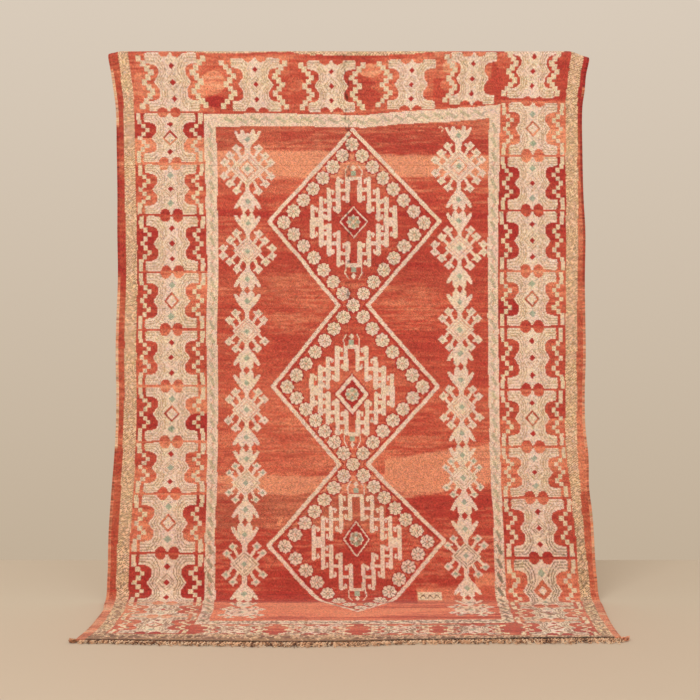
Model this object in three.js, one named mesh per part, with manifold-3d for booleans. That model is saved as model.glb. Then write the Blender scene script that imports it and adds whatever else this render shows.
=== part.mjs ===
// A hand-knotted pile rug. It hangs by its top end, which is turned over to the back, and its
// lower end bends forward and lies on the floor. X runs across the rug, Z is up, the floor is
// Z = 0 and the hanging pile faces -Y. The rug is one piece of cloth. The knotted warp ends lie
// in front of it as a fringe, with a tuft of selvedge yarn at each front corner.
import * as THREE from "three";
import { mergeVertices } from "three/addons/utils/BufferGeometryUtils.js";
import Module from "manifold-3d";

const wasm = await Module();
wasm.setup();
const { clamp, lerp, smoothstep } = THREE.MathUtils;

// Driving dimensions, in millimetres
const TOP_HEIGHT = 2160; // floor to the crown of the top fold
const THICKNESS = 10; // foundation and pile together
const BAR_ROOM = 24; // clear depth inside the top fold
const FLAP_DROP = 75; // how far the turned-over end hangs behind
const BEND_RADIUS = 50; // at mid thickness, where the rug turns onto the floor
const PARTING = 0.3; // between the cloth and the pieces that it carries
const HANG_X = -10; // the hanging cloth's middle from the middle of the footprint
const HANG_Y = 287; // the hanging cloth lies this far behind the middle of the footprint

// The lengthwise crease that the rug has kept from being stored folded
const CREASE = { across: -0.01, halfWidth: 0.02, depth: 3 };

// Slow ripples of the hanging cloth: waves across half its width, phase in turns, depth in mm,
// and how many half waves they make from top to bottom, starting at an angle
const RIPPLES = [
  { waves: 1.5, phase: 0.1, depth: 3.5, halfWaves: 1, start: 0.4 },
  { waves: 2.6, phase: 0.62, depth: 2, halfWaves: 2, start: 0.4 },
];
// The shares of the hang between which the cloth is free to ripple
const FREE = { from: 0, fully: 0.12, until: 0.93, to: 1 };

// The two side edges, by distance down the rug from the crown of the fold. Curl moves an edge
// forward (+) or back (-), over the outer share of half the width from CURL_FROM.
const CURL_FROM = 0.86;
const EDGES = [
  { along: 0, left: -950, right: 940, curlLeft: -2, curlRight: -4 },
  { along: 85, left: -938, right: 926, curlLeft: -4, curlRight: -6 },
  { along: 150, left: -929, right: 921, curlLeft: -3, curlRight: -4 },
  { along: 220, left: -920, right: 912, curlLeft: -1, curlRight: -1 },
  { along: 400, left: -915, right: 911, curlLeft: 2, curlRight: 3 },
  { along: 575, left: -912, right: 915, curlLeft: 4, curlRight: 4 },
  { along: 720, left: -913, right: 923, curlLeft: 1, curlRight: 3 },
  { along: 900, left: -912, right: 922, curlLeft: -4, curlRight: -1 },
  { along: 1085, left: -919, right: 925, curlLeft: -6, curlRight: -4 },
  { along: 1200, left: -921, right: 926, curlLeft: -6, curlRight: -2 },
  { along: 1360, left: -918, right: 921, curlLeft: -4, curlRight: 2 },
  { along: 1480, left: -919, right: 923, curlLeft: -1, curlRight: 4 },
  { along: 1600, left: -925, right: 935, curlLeft: 2, curlRight: 5 },
  { along: 1720, left: -934, right: 938, curlLeft: 5, curlRight: 2 },
  { along: 1820, left: -941, right: 951, curlLeft: 6, curlRight: -2 },
  { along: 1910, left: -946, right: 958, curlLeft: 7, curlRight: -4 },
  { along: 2030, left: -949, right: 964, curlLeft: 5, curlRight: -3 },
  { along: 2105, left: -953, right: 971, curlLeft: 0, curlRight: 0 },
  { along: 2190, left: -950, right: 973, curlLeft: 0, curlRight: 0 },
  { along: 2297, left: -931, right: 960, curlLeft: 0, curlRight: 0 },
  { along: 2437, left: -924, right: 943, curlLeft: 0, curlRight: 0 },
  { along: 2567, left: -923, right: 932, curlLeft: 0, curlRight: 0 },
  { along: 2700, left: -932, right: 929, curlLeft: 0, curlRight: 0 },
];

// The front end on the floor, from the left edge (-1) to the right (1): how far it reaches
// forward of the hanging cloth, and how far the fringe lies out beyond it
const FRONT = [
  { across: -1, reach: 552, fringe: 25 },
  { across: -0.6, reach: 570, fringe: 33 },
  { across: -0.3, reach: 576, fringe: 42 },
  { across: 0, reach: 574, fringe: 41 },
  { across: 0.2, reach: 557, fringe: 34 },
  { across: 0.5, reach: 544, fringe: 38 },
  { across: 0.8, reach: 532, fringe: 47 },
  { across: 1, reach: 528, fringe: 46 },
];

// How far each top corner hangs down past the end of what holds the fold, from what share of
// the half width it starts to, and the length of rug over which this fades out
const DROOP = { left: { by: 9, from: 0.94 }, right: { by: 23, from: 0.91 }, fade: 320 };

// The strip that holds the warp ends, and the locks that leave it
const STRIP = { width: 6, height: 6, lift: 0.5 };
const LOCKS = { count: 164, width: 5, height: 5.4, inset: 0.018, root: 3, steps: 3 };
const TAPER = { width: 0.4, height: 0.35 }; // what a lock has lost at its tip
// Neighbouring locks lean alike, in slow swings over half the width, angles in radians
const LEANS = [
  { swings: 3.25, phase: 0.15, angle: 0.2 },
  { swings: 8.5, phase: 0.6, angle: 0.13 },
];
// What each lock has of its own: a sine of its number at this pace, times this much
const OWN = {
  heading: { pace: 5.1, by: 0.1 },
  length: { pace: 2.3, by: 0.16 },
  curl: { pace: 3.7, by: 1.1 },
};

// The corner tufts: their heads, their yarns with the way each points, from -Y towards the
// tuft's own side, and how long the two tufts are beside those yarns
const TUFT_HEAD = { width: 12, depth: 13, height: 9 };
const TUFT_YARN = { width: 4.6, height: 7, curl: 0.8, spread: 0.3 };
const TUFT_YARNS = [
  { place: -4.4, heading: 0.35, length: 15 },
  { place: 0, heading: 0.95, length: 18 },
  { place: 4.4, heading: 1.35, length: 17 },
];
const TUFTS = [
  { name: "corner_tuft_left", side: -1, stretch: 0.9 },
  { name: "corner_tuft_right", side: 1, stretch: 1.1 },
];

// Sizes that follow from those above
const CROWN_RADIUS = (BAR_ROOM + THICKNESS) / 2;
const CROWN_HALF = (CROWN_RADIUS * Math.PI) / 2;
const CROWN_CENTRE = TOP_HEIGHT - THICKNESS / 2 - CROWN_RADIUS;
const BEND_CENTRE = BEND_RADIUS + THICKNESS / 2;
const HANG_END = CROWN_HALF + CROWN_CENTRE - BEND_CENTRE;
const BEND_END = HANG_END + (BEND_RADIUS * Math.PI) / 2;

// A smooth curve through the rows of a table, read by the column named key
function through(rows, key) {
  const names = Object.keys(rows[0]).filter((name) => name !== key);
  const places = rows.map((row) => row[key]);
  const values = rows.flatMap((row) => names.map((name) => row[name]));
  const curve = new THREE.CubicInterpolant(places, values, names.length);
  return (at) => {
    const found = curve.evaluate(at);
    return Object.fromEntries(names.map((name, n) => [name, found[n]]));
  };
}

const edgesAt = through(EDGES, "along");
const frontAt = through(FRONT, "across");

// The values that part each stretch of a table into its even steps, from the first start on
function stations(stretches) {
  const found = [stretches[0].from];
  for (const { from, to, steps } of stretches) {
    for (let n = 1; n <= steps; n++) found.push(from + ((to - from) * n) / steps);
  }
  return found;
}

// The side view of the rug at mid thickness, with the way that its pile faces. The floor
// part's distance is a share of its length, so that the front end can be uneven.
function profile(along, reach, floorShare) {
  if (floorShare > 0) {
    const y = -BEND_RADIUS - floorShare * (reach - BEND_RADIUS);
    return { y, z: THICKNESS / 2, faceY: 0, faceZ: 1 };
  }
  if (along > HANG_END) {
    const turn = (along - HANG_END) / BEND_RADIUS;
    const y = -BEND_RADIUS * (1 - Math.cos(turn));
    const z = BEND_CENTRE - BEND_RADIUS * Math.sin(turn);
    return { y, z, faceY: -Math.cos(turn), faceZ: Math.sin(turn) };
  }
  if (along > CROWN_HALF) {
    return { y: 0, z: CROWN_CENTRE - (along - CROWN_HALF), faceY: -1, faceZ: 0 };
  }
  if (along < -CROWN_HALF) {
    return { y: 2 * CROWN_RADIUS, z: CROWN_CENTRE + along + CROWN_HALF, faceY: 1, faceZ: 0 };
  }
  const turn = along / CROWN_RADIUS;
  const y = CROWN_RADIUS * (1 - Math.sin(turn));
  const z = CROWN_CENTRE + CROWN_RADIUS * Math.cos(turn);
  return { y, z, faceY: -Math.sin(turn), faceZ: Math.cos(turn) };
}

// How far the hanging cloth stands forward of its plane: ripples, curled edges, crease
function forward(across, along, edges) {
  const down = clamp((along - CROWN_HALF) / (HANG_END - CROWN_HALF), 0, 1);
  const freed = smoothstep(down, FREE.from, FREE.fully) * (1 - smoothstep(down, FREE.until, FREE.to));
  let depth = 0;
  for (const wave of RIPPLES) {
    const swing = Math.sin(2 * Math.PI * (wave.waves * across + wave.phase));
    depth += wave.depth * swing * Math.sin(Math.PI * wave.halfWaves * down + wave.start);
  }
  const nearEdge = smoothstep(Math.abs(across), CURL_FROM, 1);
  depth += nearEdge * (across < 0 ? edges.curlLeft : edges.curlRight);
  const crease = Math.max(0, 1 - Math.abs(across - CREASE.across) / CREASE.halfWidth);
  return freed * (depth - CREASE.depth * crease);
}

// How far a corner hangs down
function droop(across, along) {
  const corner = across < 0 ? DROOP.left : DROOP.right;
  const near = smoothstep(Math.abs(across), corner.from, 1);
  return corner.by * near * (1 - smoothstep(along, 0, DROOP.fade));
}

// A point of the rug: across from -1 to 1, side 1 on the pile and -1 on the back
function rugPoint(across, station, side) {
  const { along, floorShare } = station;
  const front = frontAt(across);
  const onFloor = floorShare * (front.reach - BEND_RADIUS);
  const edges = edgesAt(Math.abs(along) + onFloor);
  const { y, z, faceY, faceZ } = profile(along, front.reach, floorShare);
  const x = lerp(edges.left, edges.right, (across + 1) / 2);
  const out = (side * THICKNESS) / 2;
  return [x, y + faceY * out - forward(across, along, edges), z + faceZ * out - droop(across, along)];
}

// A closed box of columns by rows of cells, each of its points put where place says
function shell(columns, rows, place) {
  const box = new THREE.BoxGeometry(1, 1, 1, columns, rows, 1);
  box.deleteAttribute("normal");
  box.deleteAttribute("uv");
  const solid = mergeVertices(box);
  const points = solid.getAttribute("position");
  for (let n = 0; n < points.count; n++) {
    const column = Math.round((points.getX(n) + 0.5) * columns);
    const row = Math.round((0.5 - points.getY(n)) * rows);
    points.setXYZ(n, ...place(column, row, Math.sign(points.getZ(n))));
  }
  return solid;
}

// The columns of cells are closer at the crease and at the corners that droop
const COLUMNS = stations([
  { from: -1, to: -0.9, steps: 3 },
  { from: -0.9, to: CREASE.across - CREASE.halfWidth, steps: 10 },
  { from: CREASE.across - CREASE.halfWidth, to: CREASE.across + CREASE.halfWidth, steps: 2 },
  { from: CREASE.across + CREASE.halfWidth, to: 0.9, steps: 10 },
  { from: 0.9, to: 1, steps: 3 },
]);

// The rows run from the end of the flap over the crown, down the hang, round the bend, and
// then forward to the front end
const ROWS = [
  ...stations([
    { from: -CROWN_HALF - FLAP_DROP, to: -CROWN_HALF, steps: 2 },
    { from: -CROWN_HALF, to: CROWN_HALF, steps: 8 },
    { from: CROWN_HALF, to: HANG_END, steps: 24 },
    { from: HANG_END, to: BEND_END, steps: 7 },
  ]).map((along) => ({ along, floorShare: 0 })),
  ...stations([{ from: 0, to: 1, steps: 7 }])
    .slice(1)
    .map((floorShare) => ({ along: BEND_END, floorShare })),
];

function rug() {
  return shell(COLUMNS.length - 1, ROWS.length - 1, (column, row, side) =>
    rugPoint(COLUMNS[column], ROWS[row], side),
  );
}

function asManifold(geometry) {
  const points = geometry.getAttribute("position").array;
  const faces = geometry.getIndex().array;
  return new wasm.Manifold(
    new wasm.Mesh({
      numProp: 3,
      vertProperties: new Float32Array(points),
      triVerts: new Uint32Array(faces),
    }),
  );
}

// One closed solid from several that run into each other
function joined(solids) {
  const whole = solids.map(asManifold).reduce((sum, next) => sum.add(next));
  const mesh = whole.getMesh();
  const geometry = new THREE.BufferGeometry();
  geometry.setAttribute("position", new THREE.BufferAttribute(mesh.vertProperties, 3));
  geometry.setIndex(new THREE.BufferAttribute(mesh.triVerts, 1));
  return geometry;
}

// A four-sided lock of yarn that lies level on the floor. It leaves its root at an angle
// from -Y towards +X, bows sideways, and narrows to its tip.
function lock({ x, y, heading, length, curl, width = LOCKS.width, height = LOCKS.height }) {
  const [sin, cos] = [Math.sin(heading), Math.cos(heading)];
  return shell(1, LOCKS.steps, (column, row, side) => {
    const share = row / LOCKS.steps;
    const ahead = length * share;
    const bow = curl * Math.sin(2 * Math.PI * share);
    const sideways = bow + (column - 0.5) * width * (1 - TAPER.width * share);
    return [
      x + sin * ahead + cos * sideways,
      y - cos * ahead + sin * sideways,
      side > 0 ? height * (1 - TAPER.height * share) : 0,
    ];
  });
}

// Where the strip starts, a parting in front of the cloth, and how far the fringe reaches
function edgeLine(across) {
  const front = frontAt(across);
  const edges = edgesAt(BEND_END + front.reach - BEND_RADIUS);
  const x = lerp(edges.left, edges.right, (across + 1) / 2);
  return { x, y: -front.reach - PARTING, fringe: front.fringe };
}

function strip() {
  return shell(COLUMNS.length - 1, 1, (column, row, side) => {
    const { x, y } = edgeLine(COLUMNS[column]);
    return [x, y - row * STRIP.width, STRIP.lift + (side > 0 ? STRIP.height : 0)];
  });
}

const own = ({ pace, by }, n) => by * Math.sin(pace * n);

function fringe() {
  const solids = [strip()];
  const end = 1 - LOCKS.inset;
  for (let n = 0; n < LOCKS.count; n++) {
    const across = lerp(-end, end, n / (LOCKS.count - 1));
    const { x, y, fringe: reach } = edgeLine(across);
    let heading = own(OWN.heading, n);
    for (const lean of LEANS) {
      heading += lean.angle * Math.sin(2 * Math.PI * (lean.swings * across + lean.phase));
    }
    const length = (reach - STRIP.width + LOCKS.root) * (1 + own(OWN.length, n));
    const curl = own(OWN.curl, n);
    solids.push(lock({ x, y: y - STRIP.width + LOCKS.root, heading, length, curl }));
  }
  return joined(solids);
}

// A head at the end of the strip, with its yarns spread outwards
function cornerTuft({ side, stretch }) {
  const { x, y } = edgeLine(side);
  const middle = x + side * (PARTING + TUFT_HEAD.width / 2);
  const head = shell(1, 1, (column, row, up) => [
    middle + (column - 0.5) * TUFT_HEAD.width,
    y - row * TUFT_HEAD.depth + PARTING,
    STRIP.lift + (up > 0 ? TUFT_HEAD.height : 0),
  ]);
  const yarns = TUFT_YARNS.map(({ place, heading, length }) =>
    lock({
      x: middle - side * place * TUFT_YARN.spread,
      y: y - TUFT_HEAD.depth / 2 + place,
      heading: side * heading,
      length: length * stretch,
      curl: TUFT_YARN.curl,
      width: TUFT_YARN.width,
      height: TUFT_YARN.height,
    }),
  );
  return joined([head, ...yarns]);
}

const wool = (color) => new THREE.MeshStandardMaterial({ color, roughness: 0.95, metalness: 0 });

function piece(name, geometry, color) {
  const mesh = new THREE.Mesh(geometry, wool(color));
  mesh.name = name;
  return mesh;
}

// The origin is on the floor, in the middle of the footprint
const group = new THREE.Group();
group.position.set(HANG_X, HANG_Y, 0);
group.add(piece("rug", rug(), 0xc4553c));
group.add(piece("fringe", fringe(), 0xa98763));
for (const tuft of TUFTS) {
  group.add(piece(tuft.name, cornerTuft(tuft), 0xb0603f));
}

export default group;
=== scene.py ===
"""A hand-knotted wool pile rug, hung by its turned-over top end, its front end on the floor.

Sizes are in metres. X runs across the rug, Z is up, and the hanging pile faces -Y. The cloth
follows the same side view, edges, ripples and droop as the rug's solid. The pattern is charted
in millimetres of cloth: u across from the middle of the rug, v down it from the top fold.
"""

import math

import bpy
import mathutils
import numpy as np
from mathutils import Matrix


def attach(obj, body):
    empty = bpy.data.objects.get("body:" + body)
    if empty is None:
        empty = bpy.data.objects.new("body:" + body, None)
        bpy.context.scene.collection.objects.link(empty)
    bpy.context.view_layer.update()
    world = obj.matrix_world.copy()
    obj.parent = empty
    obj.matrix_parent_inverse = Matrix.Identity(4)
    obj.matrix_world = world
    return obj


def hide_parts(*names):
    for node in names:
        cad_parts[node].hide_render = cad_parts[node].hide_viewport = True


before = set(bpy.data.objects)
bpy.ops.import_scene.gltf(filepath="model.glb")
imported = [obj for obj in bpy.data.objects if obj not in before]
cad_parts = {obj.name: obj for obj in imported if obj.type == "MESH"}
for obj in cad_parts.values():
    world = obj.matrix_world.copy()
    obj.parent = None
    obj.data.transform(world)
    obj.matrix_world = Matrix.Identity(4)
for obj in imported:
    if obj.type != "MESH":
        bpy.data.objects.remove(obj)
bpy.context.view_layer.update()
RANDOM = np.random.default_rng(7)
MM = 0.001

# The rug's own sizes
TOP_HEIGHT = 2.160  # floor to the crown of the top fold
THICKNESS = 0.010  # foundation and pile together
BAR_ROOM = 0.024  # clear depth inside the top fold
FLAP_DROP = 0.075  # how far the turned-over end hangs behind
BEND_RADIUS = 0.050  # at mid thickness, where the rug turns onto the floor
HANG_X = -0.010  # the middle of the hanging cloth, from the middle of the footprint
HANG_Y = 0.287  # the hanging cloth lies this far behind the middle of the footprint

# The lengthwise crease, and the slow ripples: waves across half the width, phase in turns,
# depth, and half waves from top to bottom with the angle that they start at
CREASE = {"across": -0.01, "half_width": 0.02, "depth": 0.003}
RIPPLES = [
    {"waves": 1.5, "phase": 0.1, "depth": 0.0035, "half_waves": 1, "start": 0.4},
    {"waves": 2.6, "phase": 0.62, "depth": 0.002, "half_waves": 2, "start": 0.4},
]
FREE = {"from": 0.0, "fully": 0.12, "until": 0.93, "to": 1.0}  # where down the hang they are free
CURL_FROM = 0.86  # of the half width
DROOP = {"left": {"by": 0.009, "from": 0.94}, "right": {"by": 0.023, "from": 0.91}, "fade": 0.320}

# Side edges, in mm: distance down the rug, left edge, right edge, and their curls
EDGES = np.array([
    (0, -950, 940, -2, -4),
    (85, -938, 926, -4, -6),
    (150, -929, 921, -3, -4),
    (220, -920, 912, -1, -1),
    (400, -915, 911, 2, 3),
    (575, -912, 915, 4, 4),
    (720, -913, 923, 1, 3),
    (900, -912, 922, -4, -1),
    (1085, -919, 925, -6, -4),
    (1200, -921, 926, -6, -2),
    (1360, -918, 921, -4, 2),
    (1480, -919, 923, -1, 4),
    (1600, -925, 935, 2, 5),
    (1720, -934, 938, 5, 2),
    (1820, -941, 951, 6, -2),
    (1910, -946, 958, 7, -4),
    (2030, -949, 964, 5, -3),
    (2105, -953, 971, 0, 0),
    (2190, -950, 973, 0, 0),
    (2297, -931, 960, 0, 0),
    (2437, -924, 943, 0, 0),
    (2567, -923, 932, 0, 0),
    (2700, -932, 929, 0, 0),
]) * MM

# The front end, from the left edge (-1) to the right (1): its reach forward of the hanging
# cloth, and how far the fringe lies out beyond it, in mm
FRONT = np.array([
    (-1, 552, 25),
    (-0.6, 570, 33),
    (-0.3, 576, 42),
    (0, 574, 41),
    (0.2, 557, 34),
    (0.5, 544, 38),
    (0.8, 532, 47),
    (1, 528, 46),
]) * (1, MM, MM)

# Sizes that follow from those above
CROWN_RADIUS = (BAR_ROOM + THICKNESS) / 2
CROWN_HALF = CROWN_RADIUS * math.pi / 2
CROWN_CENTRE = TOP_HEIGHT - THICKNESS / 2 - CROWN_RADIUS
BEND_CENTRE = BEND_RADIUS + THICKNESS / 2
HANG_END = CROWN_HALF + CROWN_CENTRE - BEND_CENTRE
BEND_END = HANG_END + BEND_RADIUS * math.pi / 2
FLAP_END = -CROWN_HALF - FLAP_DROP


def smoothstep(x, low, high):
    t = np.clip((x - low) / (high - low), 0, 1)
    return t * t * (3 - 2 * t)


def row_of(table, column, at):
    """The straight lines through a column of a table at the places in its first column."""
    return np.interp(at, table[:, 0], table[:, column])


def through(rows, at):
    """The smooth curves through the rows of a table at the places in its first column."""
    places, values = rows[:, 0], rows[:, 1:]
    at = np.asarray(at, float)
    n = np.clip(np.searchsorted(places, at, side="right"), 1, len(places) - 1)
    t0, t1 = places[n - 1], places[n]
    before = np.where(n > 1, n - 2, n)
    after = np.where(n < len(places) - 1, n + 1, n - 1)
    t_before = np.where(n > 1, places[before], 2 * t0 - t1)
    t_after = np.where(n < len(places) - 1, places[after], 2 * t1 - t0)
    half = (t1 - t0) / 2
    w0 = half / (t0 - t_before)
    w1 = half / (t_after - t1)
    p = np.clip((at - t0) / (t1 - t0), 0, 1)
    pp = p * p
    ppp = pp * p
    shares = (
        -w0 * ppp + 2 * w0 * pp - w0 * p,
        (1 + w0) * ppp + (-1.5 - 2 * w0) * pp + (-0.5 + w0) * p + 1,
        (-1 - w1) * ppp + (1.5 + w1) * pp + 0.5 * p,
        w1 * ppp - w1 * pp,
    )
    found = sum(s[..., None] * values[i] for s, i in zip(shares, (before, n - 1, n, after)))
    return np.moveaxis(found, -1, 0)


def profile(along, reach, share):
    """The side view at mid thickness, and the way that the pile faces: y, z, face y, face z."""
    turn = np.clip(along, -CROWN_HALF, CROWN_HALF) / CROWN_RADIUS
    bend = np.clip(along - HANG_END, 0, BEND_END - HANG_END) / BEND_RADIUS
    y = CROWN_RADIUS * (1 - np.sin(turn))
    y = y - BEND_RADIUS * (1 - np.cos(bend)) - share * (reach - BEND_RADIUS)
    z = CROWN_CENTRE + CROWN_RADIUS * np.cos(turn)
    z = z + np.minimum(along + CROWN_HALF, 0) - np.clip(along - CROWN_HALF, 0, HANG_END - CROWN_HALF)
    z = z - BEND_RADIUS * np.sin(bend)
    on_crown = along < CROWN_HALF
    face_y = np.where(on_crown, -np.sin(turn), -np.cos(bend))
    face_z = np.where(on_crown, np.cos(turn), np.sin(bend))
    return y, z, face_y, face_z


def forward(across, along, curl_left, curl_right):
    """How far the hanging cloth stands forward of its plane: ripples, curled edges, crease."""
    down = np.clip((along - CROWN_HALF) / (HANG_END - CROWN_HALF), 0, 1)
    freed = smoothstep(down, FREE["from"], FREE["fully"])
    freed = freed * (1 - smoothstep(down, FREE["until"], FREE["to"]))
    depth = 0
    for wave in RIPPLES:
        swing = np.sin(2 * math.pi * (wave["waves"] * across + wave["phase"]))
        depth = depth + wave["depth"] * swing * np.sin(math.pi * wave["half_waves"] * down + wave["start"])
    near_edge = smoothstep(np.abs(across), CURL_FROM, 1)
    depth = depth + near_edge * np.where(across < 0, curl_left, curl_right)
    crease = np.maximum(0, 1 - np.abs(across - CREASE["across"]) / CREASE["half_width"])
    return freed * (depth - CREASE["depth"] * crease)


def droop(across, along):
    """How far the top corners hang down."""
    near_left = DROOP["left"]["by"] * smoothstep(-across, DROOP["left"]["from"], 1)
    near_right = DROOP["right"]["by"] * smoothstep(across, DROOP["right"]["from"], 1)
    return (near_left + near_right) * (1 - smoothstep(along, 0, DROOP["fade"]))


def cloth(across, along, share, out, inset=0.0):
    """Points of the rug: across from -1 to 1, out from mid thickness towards the pile, and
    inset in from both side edges."""
    across, along, share, out = np.broadcast_arrays(*map(np.asarray, (across, along, share, out)))
    reach, _ = through(FRONT, across)
    on_floor = share * (reach - BEND_RADIUS)
    left, right, curl_left, curl_right = through(EDGES, np.abs(along) + on_floor)
    y, z, face_y, face_z = profile(along, reach, share)
    x = (left + inset) + (right - left - 2 * inset) * (across + 1) / 2 + HANG_X
    y = y + face_y * out - forward(across, along, curl_left, curl_right) + HANG_Y
    z = z + face_z * out - droop(across, along)
    return np.stack([x, y, z], -1)


# Knots of the weave, and half the width that the chart is drawn on, in mm
KNOTS = {"across": 472, "hang": 588, "floor": 132}
ROWS = KNOTS["hang"] + KNOTS["floor"]
PILE_SHARE = 0.992  # of the half width, within the selvedges
HALF_WIDTH = 922
CHART_TOP = 12  # the chart starts this far down from the top fold
WINDOW_MARGIN = 6  # more than the knots wander
# Hand knotting wanders by a knot or so. All noise is given by its waves' size in knots, down
# and across, and the seed of its own random numbers.
WANDER = {"by": 1.6, "across": {"cells": (14, 14), "seed": 1}, "down": {"cells": (14, 14), "seed": 2}}
# The sides that the chart's pattern was knotted to, in mm: distance down the rug, left, right
CHART_SIDES = np.array([
    (0, -941, 937),
    (85, -929, 924),
    (185, -916, 912),
    (300, -911, 910),
    (850, -911, 915),
    (1085, -920, 921),
    (1360, -923, 929),
    (1635, -929, 938),
    (1910, -944, 958),
    (2105, -953, 973),
    (2192, -950, 975),
    (2297, -933, 960),
    (2437, -925, 943),
    (2567, -923, 934),
    (2707, -940, 931),
], float)

# The yarns by number
(GROUND, DEEP, ORANGE, CREAM, PINK, BEIGE, SAGE, CHAIN, BROWN, GUARD, EDGE, TAN, TAUPE, SALMON,
 OLIVE, PALE, BRICK, LEAF, UMBER) = range(19)


def knot_rows(places):
    """Distance down the rug and share of the floor part at these places, counted in knots."""
    share = np.maximum(0, places - KNOTS["hang"]) / KNOTS["floor"]
    along = FLAP_END + np.minimum(places, KNOTS["hang"]) * (BEND_END - FLAP_END) / KNOTS["hang"]
    return along, share


def smooth_noise(shape, kind):
    """Noise between -1 and 1."""
    numbers = np.random.default_rng(kind["seed"])
    field = numbers.uniform(-1, 1, [int(n / c) + 3 for n, c in zip(shape, kind["cells"])])
    for axis, (count, cell) in enumerate(zip(shape, kind["cells"])):
        at = np.arange(count) / cell
        low = at.astype(int)
        part = smoothstep(at - low, 0, 1)
        part = part[:, None] if axis == 0 else part
        field = np.take(field, low, axis) * (1 - part) + np.take(field, low + 1, axis) * part
    return field


class Weave:
    """The knots of the pile, each with a place on the chart and the number of its yarn."""

    def __init__(self):
        self.shape = (ROWS, KNOTS["across"])
        across = ((np.arange(KNOTS["across"]) + 0.5) / KNOTS["across"] * 2 - 1) * PILE_SHARE
        along, share = knot_rows(np.arange(ROWS) + 0.5)
        reach, _ = through(FRONT, across)
        down = along[:, None] + share[:, None] * (reach - BEND_RADIUS)
        self.across = np.tile(across, (ROWS, 1))
        left, right, _, _ = through(EDGES, np.abs(down))
        x = (left + (right - left) * (across + 1) / 2) / MM
        left, right = (row_of(CHART_SIDES, n, np.abs(down) / MM) for n in (1, 2))
        self.u = HALF_WIDTH * (2 * x - left - right) / (right - left)
        self.v = down / MM - CHART_TOP
        self.first, self.last = self.v.min(1), self.v.max(1)
        self.left, self.right = self.u.min(0), self.u.max(0)
        self.u += WANDER["by"] * self.noise(WANDER["across"])
        self.v += WANDER["by"] * self.noise(WANDER["down"])
        self.yarn = np.full(self.shape, GROUND, np.uint8)
        self.tone = np.zeros(self.shape)

    def noise(self, kind):
        return smooth_noise(self.shape, kind)

    def window(self, low, high):
        """The rows and columns of knots between two corners of the chart."""
        low, high = np.minimum(low, high) - WINDOW_MARGIN, np.maximum(low, high) + WINDOW_MARGIN
        columns = slice(np.searchsorted(self.right, low[0]), np.searchsorted(self.left, high[0]))
        rows = slice(np.searchsorted(self.last, low[1]), np.searchsorted(self.first, high[1]))
        return rows, columns


class Chart:
    """A place on the weave with its own origin and scale, where a motif is drawn."""

    def __init__(self, weave, u=0.0, v=0.0, wide=1.0, tall=1.0):
        self.weave, self.u, self.v, self.wide, self.tall = weave, u, v, wide, tall

    def at(self, u, v, wide=1.0, tall=1.0):
        return Chart(self.weave, *self.spot((u, v)), self.wide * wide, self.tall * tall)

    def spot(self, points):
        return np.array([self.u, self.v]) + np.asarray(points, float) * (self.wide, self.tall)

    def fill(self, low, high, inside, yarn, tone=None):
        """Gives a yarn, or else a tone of red, to the knots between two corners where inside holds."""
        window = self.weave.window(self.spot(low), self.spot(high))
        x = (self.weave.u[window] - self.u) / self.wide
        y = (self.weave.v[window] - self.v) / self.tall
        layer, value = (self.weave.yarn, yarn) if tone is None else (self.weave.tone, tone)
        layer[window][inside(x, y)] = value

    def around(self, x, y, half, inside, yarn, tone=None):
        """The same round a middle. Half is half the width and height, or one number for both."""
        wide, tall = np.broadcast_to(half, 2)
        self.fill((x - wide, y - tall), (x + wide, y + tall),
                  lambda a, b: inside(abs(a - x) / wide, abs(b - y) / tall), yarn, tone)

    def box(self, x, y, half, yarn):
        self.around(x, y, half, lambda a, b: np.maximum(a, b) <= 1, yarn)

    def diamond(self, x, y, half, yarn, hole=0.0):
        self.around(x, y, half, lambda a, b: (a + b <= 1) & (a + b >= hole), yarn)

    def oval(self, x, y, half, yarn, tone=None):
        self.around(x, y, half, lambda a, b: a * a + b * b <= 1, yarn, tone)

    def line(self, points, width, yarn, mirrored=((1, 1),)):
        """A line through these points, its width in mm, and its mirror images."""
        for mirror in mirrored:
            spots = self.spot(np.asarray(points, float) * mirror)
            for a, b in zip(spots, spots[1:]):
                window = self.weave.window(np.minimum(a, b) - width, np.maximum(a, b) + width)
                u, v = self.weave.u[window] - a[0], self.weave.v[window] - a[1]
                du, dv = b - a
                along = np.clip((u * du + v * dv) / (du * du + dv * dv), 0, 1)
                near = (u - along * du) ** 2 + (v - along * dv) ** 2 <= (width / 2) ** 2
                self.weave.yarn[window][near] = yarn

    def shape(self, points, yarn):
        """A filled outline."""
        points = np.asarray(points, float)
        edges = list(zip(points, np.roll(points, -1, 0)))

        def inside(x, y):
            found = np.zeros(x.shape, bool)
            for (ax, ay), (bx, by) in edges:
                if ay != by:
                    crosses = (ay > y) != (by > y)
                    found ^= crosses & (x < ax + (y - ay) * (bx - ax) / (by - ay))
            return found

        self.fill(points.min(0), points.max(0), inside, yarn)


SIDES = ((1, 1), (-1, 1))
QUARTERS = ((1, 1), (-1, 1), (1, -1), (-1, -1))
LINE = 4.2  # one row of knots

# The border's bone-shaped motif. Half its width by share of its half height.
BONE = np.array([
    (0, 72), (0.15, 61), (0.24, 53), (0.44, 53), (0.54, 60), (0.6, 76), (0.62, 100), (0.93, 100),
    (0.96, 92),
])
BONE_LINES = [
    [(62, 0), (52, 0.15), (44, 0.25), (44, 0.46), (52, 0.6), (66, 0.71), (100, 0.71)],
    [(52, 0), (43, 0.15), (35, 0.26), (35, 0.48), (44, 0.65), (58, 0.8), (100, 0.8)],
    [(42, 0), (34, 0.15), (26, 0.27), (26, 0.5), (36, 0.7), (50, 0.89), (100, 0.89)],
]
BONE_CHEVRONS = [(33, 0.32), (22, 0.21)]
CHEVRON_HOLE = 0.84
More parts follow.
